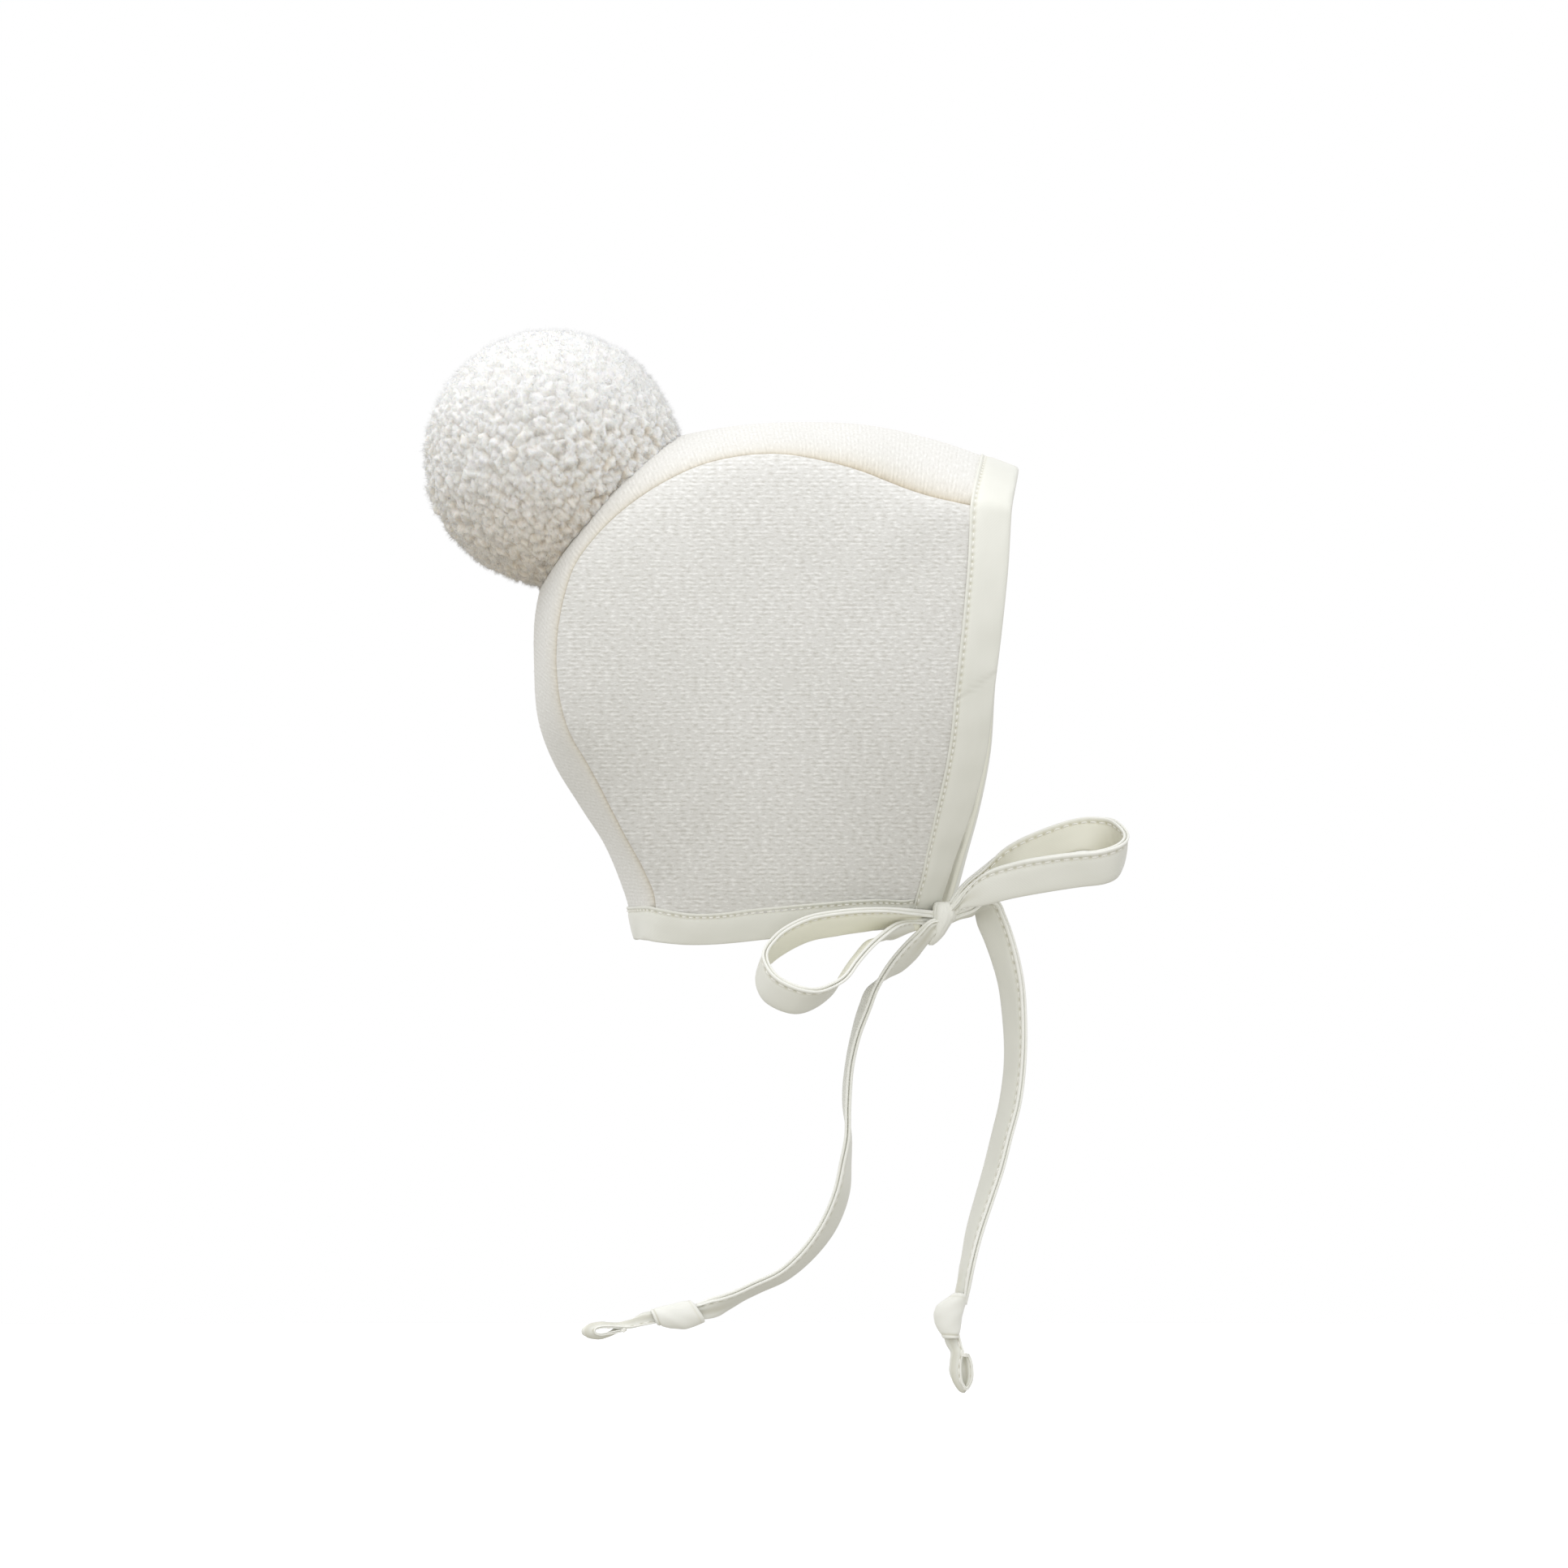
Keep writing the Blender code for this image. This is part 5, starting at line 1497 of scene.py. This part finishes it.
def add_ball(strip, centre, axis, lumps, yarn):
    """The ball of yarn ends, as rings round its axis, flat where it meets the crown."""
    third = np.array([0, 1.0, 0])
    turns = np.linspace(0, math.pi, BALL_ROWS + 2)[1:-1]
    around = np.linspace(0, math.tau, BALL_COLUMNS, endpoint=False)
    ring = np.outer(np.cos(around), unit(np.cross(axis, third))) + np.outer(np.sin(around), third)
    directions = (np.cos(turns)[:, None, None] * axis + np.sin(turns)[:, None, None] * ring).reshape(-1, 3)
    heights, owners = lumps.over(directions)
    reach, above, _ = yarn_reach(strip, centre, directions, POMPOM_RADIUS + heights)
    ball = (centre + directions * reach[:, None]).reshape(BALL_ROWS, BALL_COLUMNS, 3)
    piece = grid_piece("pompom_yarn", ball, np.zeros((BALL_ROWS, BALL_COLUMNS + 1, 2)), yarn)
    depth = lumps.depth(heights, owners)
    # Painted shade down between the yarn ends: more next to the crown, less over the lit top, and some where
    # the ball meets the wool
    lit_top = smooth_step((directions[:, 2] - 0.1) / 0.6)
    depth = depth * (0.6 + 0.7 * np.exp(-above / 0.016)) * (1 - 0.6 * lit_top)
    depth = np.clip(np.maximum(depth, 0.2 * np.exp(-above / 0.003)), 0, 1)
    points = np.append(np.arange(len(directions)), [0, -1])
    lumps.tint(piece, depth[points], owners[points], directions[points])
    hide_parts("pompom")
    return piece


def add_pile(strip, centre, lumps, yarn):
    """The fine wool that stands out of the ball, thickest next to the crown."""
    directions = unit(RNG.normal(size=(WISP_COUNT, 3)))
    heights, owners = lumps.over(directions)
    reach, above, facing = yarn_reach(strip, centre, directions, POMPOM_RADIUS + heights)
    keep = (reach > 0.88 * POMPOM_RADIUS) & ((above < ROOT_REACH) | (RNG.random(WISP_COUNT) < WISP_SHARE))
    directions, heights, owners, reach, above, facing = (
        values[keep] for values in (directions, heights, owners, reach, above, facing)
    )
    lean = lumps.leans[owners] + RNG.normal(scale=0.3, size=directions.shape)
    lean = lean - directions * np.sum(lean * directions, axis=1)[:, None]
    ways = unit(directions + lean) * WISP_LENGTH * RNG.uniform(0.45, 1.1, (len(directions), 1))
    under = 0.0004 - above - np.sum(ways * facing, axis=1)
    ways = ways + facing * np.clip(under, 0, None)[:, None]
    roots = centre + directions * (reach - 0.0004)[:, None]
    # Painted shade on the wisps: a little between the yarn ends and more next to the crown
    depth = lumps.depth(heights, owners) * 0.3 + 0.2 * np.exp(-above / 0.004)
    pieces = []
    for number, low in enumerate(range(0, len(roots), WISPS_PER_PIECE), 1):
        block = slice(low, low + WISPS_PER_PIECE)
        piece = add_wisps("pompom_wisps_%d" % number, roots[block], ways[block], WISP_RADIUS, yarn)
        lumps.tint(piece, depth[block], owners[block], directions[block], 4)
        pieces.append(piece)
    return pieces


def add_pompom(strip, yarn):
    share = np.array(POMPOM_PLACE)
    axis = strip.outward(share, np.array(0.0))
    centre = strip.place(share, np.array(0.0)) + axis * (WOOL + POMPOM_STAND)
    lumps = Lumps()
    return [add_ball(strip, centre, axis, lumps, yarn)] + add_pile(strip, centre, lumps, yarn)


def new_material(name):
    material = bpy.data.materials.new(name)
    material.use_nodes = True
    nodes = material.node_tree.nodes
    return material, nodes, material.node_tree.links, nodes["Principled BSDF"]


def attribute_value(nodes, name):
    node = nodes.new("ShaderNodeAttribute")
    node.attribute_name = name
    return node.outputs["Fac"]


def stretched_noise(nodes, links, scale, detail, roughness=0.5):
    """Noise over the flat cloth, with its own scale along and across."""
    cloth = nodes.new("ShaderNodeUVMap")
    cloth.uv_map = "cloth"
    mapping = nodes.new("ShaderNodeMapping")
    mapping.inputs["Scale"].default_value = (*scale, 1)
    links.new(cloth.outputs["UV"], mapping.inputs["Vector"])
    noise = nodes.new("ShaderNodeTexNoise")
    noise.noise_dimensions = "2D"
    noise.inputs["Scale"].default_value = 1.0
    noise.inputs["Detail"].default_value = detail
    noise.inputs["Roughness"].default_value = roughness
    links.new(mapping.outputs["Vector"], noise.inputs["Vector"])
    return noise.outputs["Fac"]


def ramp(nodes, links, value, stops):
    node = nodes.new("ShaderNodeValToRGB")
    elements = node.color_ramp.elements
    while len(elements) < len(stops):
        elements.new(0.5)
    for element, (place, colour) in zip(elements, stops):
        element.position = place
        element.color = (*colour, 1)
    links.new(value, node.inputs["Fac"])
    return node.outputs["Color"]


def blended(nodes, links, kind, share, first, second):
    node = nodes.new("ShaderNodeMix")
    node.data_type = "RGBA"
    node.blend_type = kind
    node.inputs["Factor"].default_value = share
    links.new(first, node.inputs[6])
    links.new(second, node.inputs[7])
    return node.outputs[2]


def bump(nodes, links, height, distance, strength, below=None):
    node = nodes.new("ShaderNodeBump")
    node.inputs["Strength"].default_value = strength
    node.inputs["Distance"].default_value = distance
    links.new(height, node.inputs["Height"])
    if below is not None:
        links.new(below, node.inputs["Normal"])
    return node.outputs["Normal"]


def row_waves(nodes, links, pitch, bands, distortion, wander):
    """Even bands over the flat cloth, a pitch apart, that wander over a length."""
    cloth = nodes.new("ShaderNodeUVMap")
    cloth.uv_map = "cloth"
    rows = nodes.new("ShaderNodeTexWave")
    rows.bands_direction = bands
    turns = 10 * math.sqrt(2) if bands == "DIAGONAL" else 20
    rows.inputs["Scale"].default_value = math.tau / (turns * pitch)
    rows.inputs["Distortion"].default_value = distortion
    rows.inputs["Detail"].default_value = 1.0
    rows.inputs["Detail Scale"].default_value = turns * pitch / math.tau / wander
    links.new(cloth.outputs["UV"], rows.inputs["Vector"])
    return rows.outputs["Fac"]


def mean_of(nodes, links, first, second, share):
    node = nodes.new("ShaderNodeMix")
    node.inputs["Factor"].default_value = share
    links.new(first, node.inputs[2])
    links.new(second, node.inputs[3])
    return node.outputs[0]


def wool_material(name, contrast, painted_lightness):
    """Felted knit: light dashes of yarn in even rows, a fine fibrous grain, a soft sheen and painted shade
    in the seams. Painted lightness makes a lighter, lit copy.
    """
    material, nodes, links, shader = new_material(name)
    rows = row_waves(nodes, links, KNIT_PITCH, "Y", 1.6, 0.015)
    dashes = stretched_noise(nodes, links, (520, 1350), 1.5, 0.55)
    knit = mean_of(nodes, links, dashes, rows, 0.17)
    grain = stretched_noise(nodes, links, (2300, 3800), 2.0)
    cloud = stretched_noise(nodes, links, (26, 32), 2.0)
    middle = np.array(KNIT_COLOURS[1][1])
    knit_colour = ramp(nodes, links, knit, [
        (place, (middle + (np.array(colour) - middle) * contrast) * painted_lightness)
        for place, colour in KNIT_COLOURS
    ])
    cloud_colour = ramp(nodes, links, cloud, ((0.3, (0.965, 0.965, 0.96)), (0.7, WHITE)))
    grain_colour = ramp(nodes, links, grain, ((0.3, (0.94, 0.94, 0.935)), (0.7, WHITE)))
    colour = blended(nodes, links, "MULTIPLY", 1.0, knit_colour, cloud_colour)
    colour = blended(nodes, links, "MULTIPLY", 1.0, colour, grain_colour)
    # Painted shade in the seams and along the strip's edges
    seam_shade_colour = ramp(nodes, links, attribute_value(nodes, "seam"), (
        (0.0, WHITE), (0.5, (0.95, 0.915, 0.85)), (1.0, (0.87, 0.80, 0.68))
    ))
    colour = blended(nodes, links, "MULTIPLY", 1.0, colour, seam_shade_colour)
    links.new(colour, shader.inputs["Base Color"])
    fine = bump(nodes, links, grain, 0.0001, 0.4)
    links.new(bump(nodes, links, knit, 0.0003, 0.32 * contrast, fine), shader.inputs["Normal"])
    shader.inputs["Roughness"].default_value = 0.95
    shader.inputs["Specular IOR Level"].default_value = 0.15
    shader.inputs["Sheen Weight"].default_value = 0.12
    shader.inputs["Sheen Roughness"].default_value = 0.6
    return material


def fibre_material():
    material, nodes, links, shader = new_material("wool_fibre")
    place = nodes.new("ShaderNodeTexCoord")
    noise = nodes.new("ShaderNodeTexNoise")
    noise.inputs["Scale"].default_value = 900
    links.new(place.outputs["Object"], noise.inputs["Vector"])
    # Painted light: the loose fibres are much lighter than the knit they come from, so that their shaded
    # sides do not look dark
    tones = ((0.3, (0.92, 0.91, 0.88)), (0.7, (0.97, 0.965, 0.95)))
    colour = ramp(nodes, links, noise.outputs["Fac"], tones)
    links.new(colour, shader.inputs["Base Color"])
    shader.inputs["Roughness"].default_value = 0.9
    shader.inputs["Specular IOR Level"].default_value = 0.1
    return material


def sateen_material():
    """Cotton sateen: a fine diagonal twill under a soft, slightly greenish cream sheen."""
    material, nodes, links, shader = new_material("sateen_weave")
    twill = row_waves(nodes, links, TWILL_PITCH, "DIAGONAL", 1.2, 0.002)
    cloud = stretched_noise(nodes, links, (60, 140), 3.0)
    twill_colour = ramp(nodes, links, twill, ((0.2, (0.745, 0.743, 0.678)), (0.8, (0.757, 0.755, 0.690))))
    cloud_colour = ramp(nodes, links, cloud, ((0.3, (0.965, 0.967, 0.96)), (0.7, WHITE)))
    colour = blended(nodes, links, "MULTIPLY", 1.0, twill_colour, cloud_colour)
    for name, kind, stops in (
        # Painted highlight on the lips, the knot and the cuffs
        ("painted_highlight", "ADD", ((0.0, BLACK), (1.0, (0.11, 0.11, 0.12)))),
        # Painted light on the inner faces, and warm painted shade at half strength
        ("inside", "ADD", ((0.0, BLACK), (0.5, BLACK), (1.0, (0.09, 0.085, 0.06)))),
        ("inside", "MULTIPLY", ((0.0, WHITE), (0.5, (0.965, 0.95, 0.885)), (1.0, (1.0, 1.0, 0.97)))),
        # Painted shade in the stitch pits, the creases and the cuffs' hem and mouth
        ("painted_shade", "MULTIPLY", ((0.0, WHITE), (1.0, (0.78, 0.755, 0.66)))),
    ):
        tint = ramp(nodes, links, attribute_value(nodes, name), stops)
        colour = blended(nodes, links, kind, 1.0, colour, tint)
    links.new(colour, shader.inputs["Base Color"])
    links.new(bump(nodes, links, twill, 0.00003, 0.03), shader.inputs["Normal"])
    shader.inputs["Roughness"].default_value = 0.5
    shader.inputs["Specular IOR Level"].default_value = 0.35
    shader.inputs["Sheen Weight"].default_value = 0.12
    shader.inputs["Sheen Roughness"].default_value = 0.4
    return material


def thread_material():
    material, nodes, links, shader = new_material("cotton_thread")
    place = nodes.new("ShaderNodeTexCoord")
    ply = nodes.new("ShaderNodeTexWave")
    ply.inputs["Scale"].default_value = 1400
    ply.inputs["Distortion"].default_value = 3.0
    links.new(place.outputs["Object"], ply.inputs["Vector"])
    colour = ramp(nodes, links, ply.outputs["Fac"], ((0.0, (0.84, 0.83, 0.76)), (1.0, (0.93, 0.92, 0.87))))
    links.new(colour, shader.inputs["Base Color"])
    links.new(bump(nodes, links, ply.outputs["Fac"], 0.00005, 0.5), shader.inputs["Normal"])
    shader.inputs["Roughness"].default_value = 0.6
    return material


def yarn_material():
    """Wool yarn: pale at the cut ends, with painted shade that is warmer and darker down between them and
    underneath, each end a little different.
    """
    material, nodes, links, shader = new_material("pompom_wool")
    depth, tone, shade = (attribute_value(nodes, name) for name in ("depth", "tone", "shade"))
    place = nodes.new("ShaderNodeTexCoord")
    strands = nodes.new("ShaderNodeTexNoise")
    strands.inputs["Scale"].default_value = 2200
    strands.inputs["Detail"].default_value = 2.0
    links.new(place.outputs["Object"], strands.inputs["Vector"])
    # Painted shade: warmer and darker down between the yarn ends
    depth_shade_colour = ramp(nodes, links, depth, (
        (0.0, (0.858, 0.861, 0.853)),
        (0.25, (0.840, 0.836, 0.818)),
        (0.60, (0.803, 0.779, 0.730)),
        (1.0, (0.735, 0.675, 0.585)),
    ))
    tone_colour = ramp(nodes, links, tone, ((0.0, (0.95, 0.945, 0.93)), (1.0, WHITE)))
    strand_colour = ramp(nodes, links, strands.outputs["Fac"], ((0.3, (0.93, 0.925, 0.91)), (0.65, WHITE)))
    shade_colour = ramp(nodes, links, shade, ((0.0, WHITE), (1.0, (0.90, 0.83, 0.74))))
    colour = depth_shade_colour
    for tint in (tone_colour, shade_colour, strand_colour):
        colour = blended(nodes, links, "MULTIPLY", 1.0, colour, tint)
    links.new(colour, shader.inputs["Base Color"])
    links.new(bump(nodes, links, strands.outputs["Fac"], 0.0003, 0.35), shader.inputs["Normal"])
    shader.inputs["Roughness"].default_value = 0.95
    shader.inputs["Specular IOR Level"].default_value = 0.1
    shader.inputs["Sheen Weight"].default_value = 0.2
    shader.inputs["Subsurface Weight"].default_value = 0.6
    shader.inputs["Subsurface Radius"].default_value = (1.0, 0.85, 0.65)
    shader.inputs["Subsurface Scale"].default_value = 0.0018
    return material


def add_sky():
    """An even sky of light, brightest round the horizon."""
    world = bpy.data.worlds.new("studio")
    bpy.context.scene.world = world
    world.use_nodes = True
    nodes, links = world.node_tree.nodes, world.node_tree.links
    direction = nodes.new("ShaderNodeTexCoord")
    height = nodes.new("ShaderNodeSeparateXYZ")
    links.new(direction.outputs["Generated"], height.inputs["Vector"])
    share = nodes.new("ShaderNodeMapRange")
    share.inputs["From Min"].default_value = -1.0
    links.new(height.outputs["Z"], share.inputs["Value"])
    links.new(ramp(nodes, links, share.outputs["Result"], SKY), nodes["Background"].inputs["Color"])


def add_floor():
    """A white disc well below the ties, which sends no light back to the bonnet."""
    turns = np.linspace(0, math.tau, 64, endpoint=False)
    rim = FLOOR_RADIUS * np.stack([np.cos(turns), np.sin(turns)], axis=1)
    mesh = bpy.data.meshes.new("floor")
    mesh.from_pydata([(x, y, FLOOR_LEVEL) for x, y in rim], [], [range(len(rim))])
    floor = bpy.data.objects.new("floor", mesh)
    bpy.context.scene.collection.objects.link(floor)
    floor.visible_diffuse = False
    floor.visible_glossy = False
    material, _, _, shader = new_material("white_paper")
    shader.inputs["Base Color"].default_value = (0.92, 0.92, 0.92, 1.0)
    shader.inputs["Roughness"].default_value = 0.9
    mesh.materials.append(material)


def add_lamps():
    for name, source, strength, spread in LAMPS:
        light = bpy.data.lights.new(name, "SUN")
        light.energy = strength
        light.angle = spread
        lamp = bpy.data.objects.new(name, light)
        lamp.rotation_euler = (-Vector(source)).to_track_quat("-Z", "Y").to_euler()
        bpy.context.scene.collection.objects.link(lamp)


def add_camera():
    """The photograph's view: from the near side, square to the bonnet's middle plane, from far away."""
    camera = bpy.data.cameras.new("camera")
    camera.sensor_width = 36.0
    camera.lens = 400.0
    camera.clip_end = 50.0
    distance = FRAME_WIDTH * camera.lens / camera.sensor_width
    camera_object = bpy.data.objects.new("camera", camera)
    camera_object.location = (FRAME_MIDDLE[0], -distance, FRAME_MIDDLE[1])
    camera_object.rotation_euler = (math.pi / 2, 0, 0)
    bpy.context.scene.collection.objects.link(camera_object)
    bpy.context.scene.camera = camera_object


def add_wool(near, far, strip):
    """The two panels and the strip with their fuzz."""
    wool = wool_material("wool_knit", 1.0, 1.0)
    # Painted light: the strip's copy of the knit is lighter and shows half the pattern's contrast, as the
    # crown is lit from above
    strip_wool_lit = wool_material("wool_knit_lit", 0.5, 1.07)
    fibre = fibre_material()
    for name, panel in (("near", near), ("far", far)):
        piece, skin = add_side_panel("wool_panel_" + name, panel, strip, wool)
        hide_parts("side_panel_" + name)
        fuzz = add_fuzz("wool_fuzz_" + name, skin, FUZZ_PER_PANEL, fibre)
    piece, skin = add_centre_strip("wool_strip", strip, (near, far), strip_wool_lit)
    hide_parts("centre_strip")
    fuzz = add_fuzz("wool_fuzz_strip", skin, FUZZ_ON_STRIP, fibre)


def add_bindings(panels, strip, sateen, thread):
    for name, rows, band, stop, shape in (
        ("face_binding", FACE_LINE, FACE_BAND, 0.0, diagonal_join),
        ("neck_binding", NECK_LINE, NECK_BAND, NECK_STOP, None),
    ):
        piece, stitches = add_binding(name + "_tape", panels, strip, rows, band, stop, sateen, thread, shape)
        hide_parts(name)


def add_ties(knot, sateen, thread):
    """The knot, its loops and tails, the leads from the chin corners, and the ends of the tails."""
    for piece in add_knot(knot, sateen):
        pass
    for name, rows, reach, seed, inside in BOW_TAPES:
        for piece in add_tape(name, tape_frame(rows, reach, knot), sateen, thread, seed=seed, inside=inside):
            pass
    for name, rows, side in (("tie_lead_near", NEAR_LEAD, -1), ("tie_lead_far", FAR_LEAD, 1)):
        for piece in add_tape(name, lead_frame(rows, side, knot), sateen, thread, trim=(2, 2)):
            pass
    for end, cuff_shape, rows, tack in TAIL_ENDS:
        cuff, hem = add_cuff("cuff_" + end, *cuff_shape, knot, sateen)
        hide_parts("tail_cuff_" + end)
        tip = tape_frame(rows, TIP_LENGTH, hem, TIP_STEP)
        for piece in add_tape("tail_tip_" + end, tip, sateen, thread, thin=TIP_THIN, seed=61, trim=(8, 30)):
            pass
        add_tack("tip_tack_" + end, tack, hem, thread)


def main():
    near, far, strip = SidePanel(-1), SidePanel(1), CentreStrip()
    add_wool(near, far, strip)
    sateen = sateen_material()
    thread = thread_material()
    add_bindings((near, far), strip, sateen, thread)
    add_ties(chin_corner(-1) + np.array([KNOT_AHEAD, -KNOT_OUT, -KNOT_BELOW]), sateen, thread)
    for piece in add_pompom(strip, yarn_material()):
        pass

    bpy.context.scene.view_settings.view_transform = "Standard"
    add_sky()
    add_floor()
    add_lamps()
    add_camera()


main()
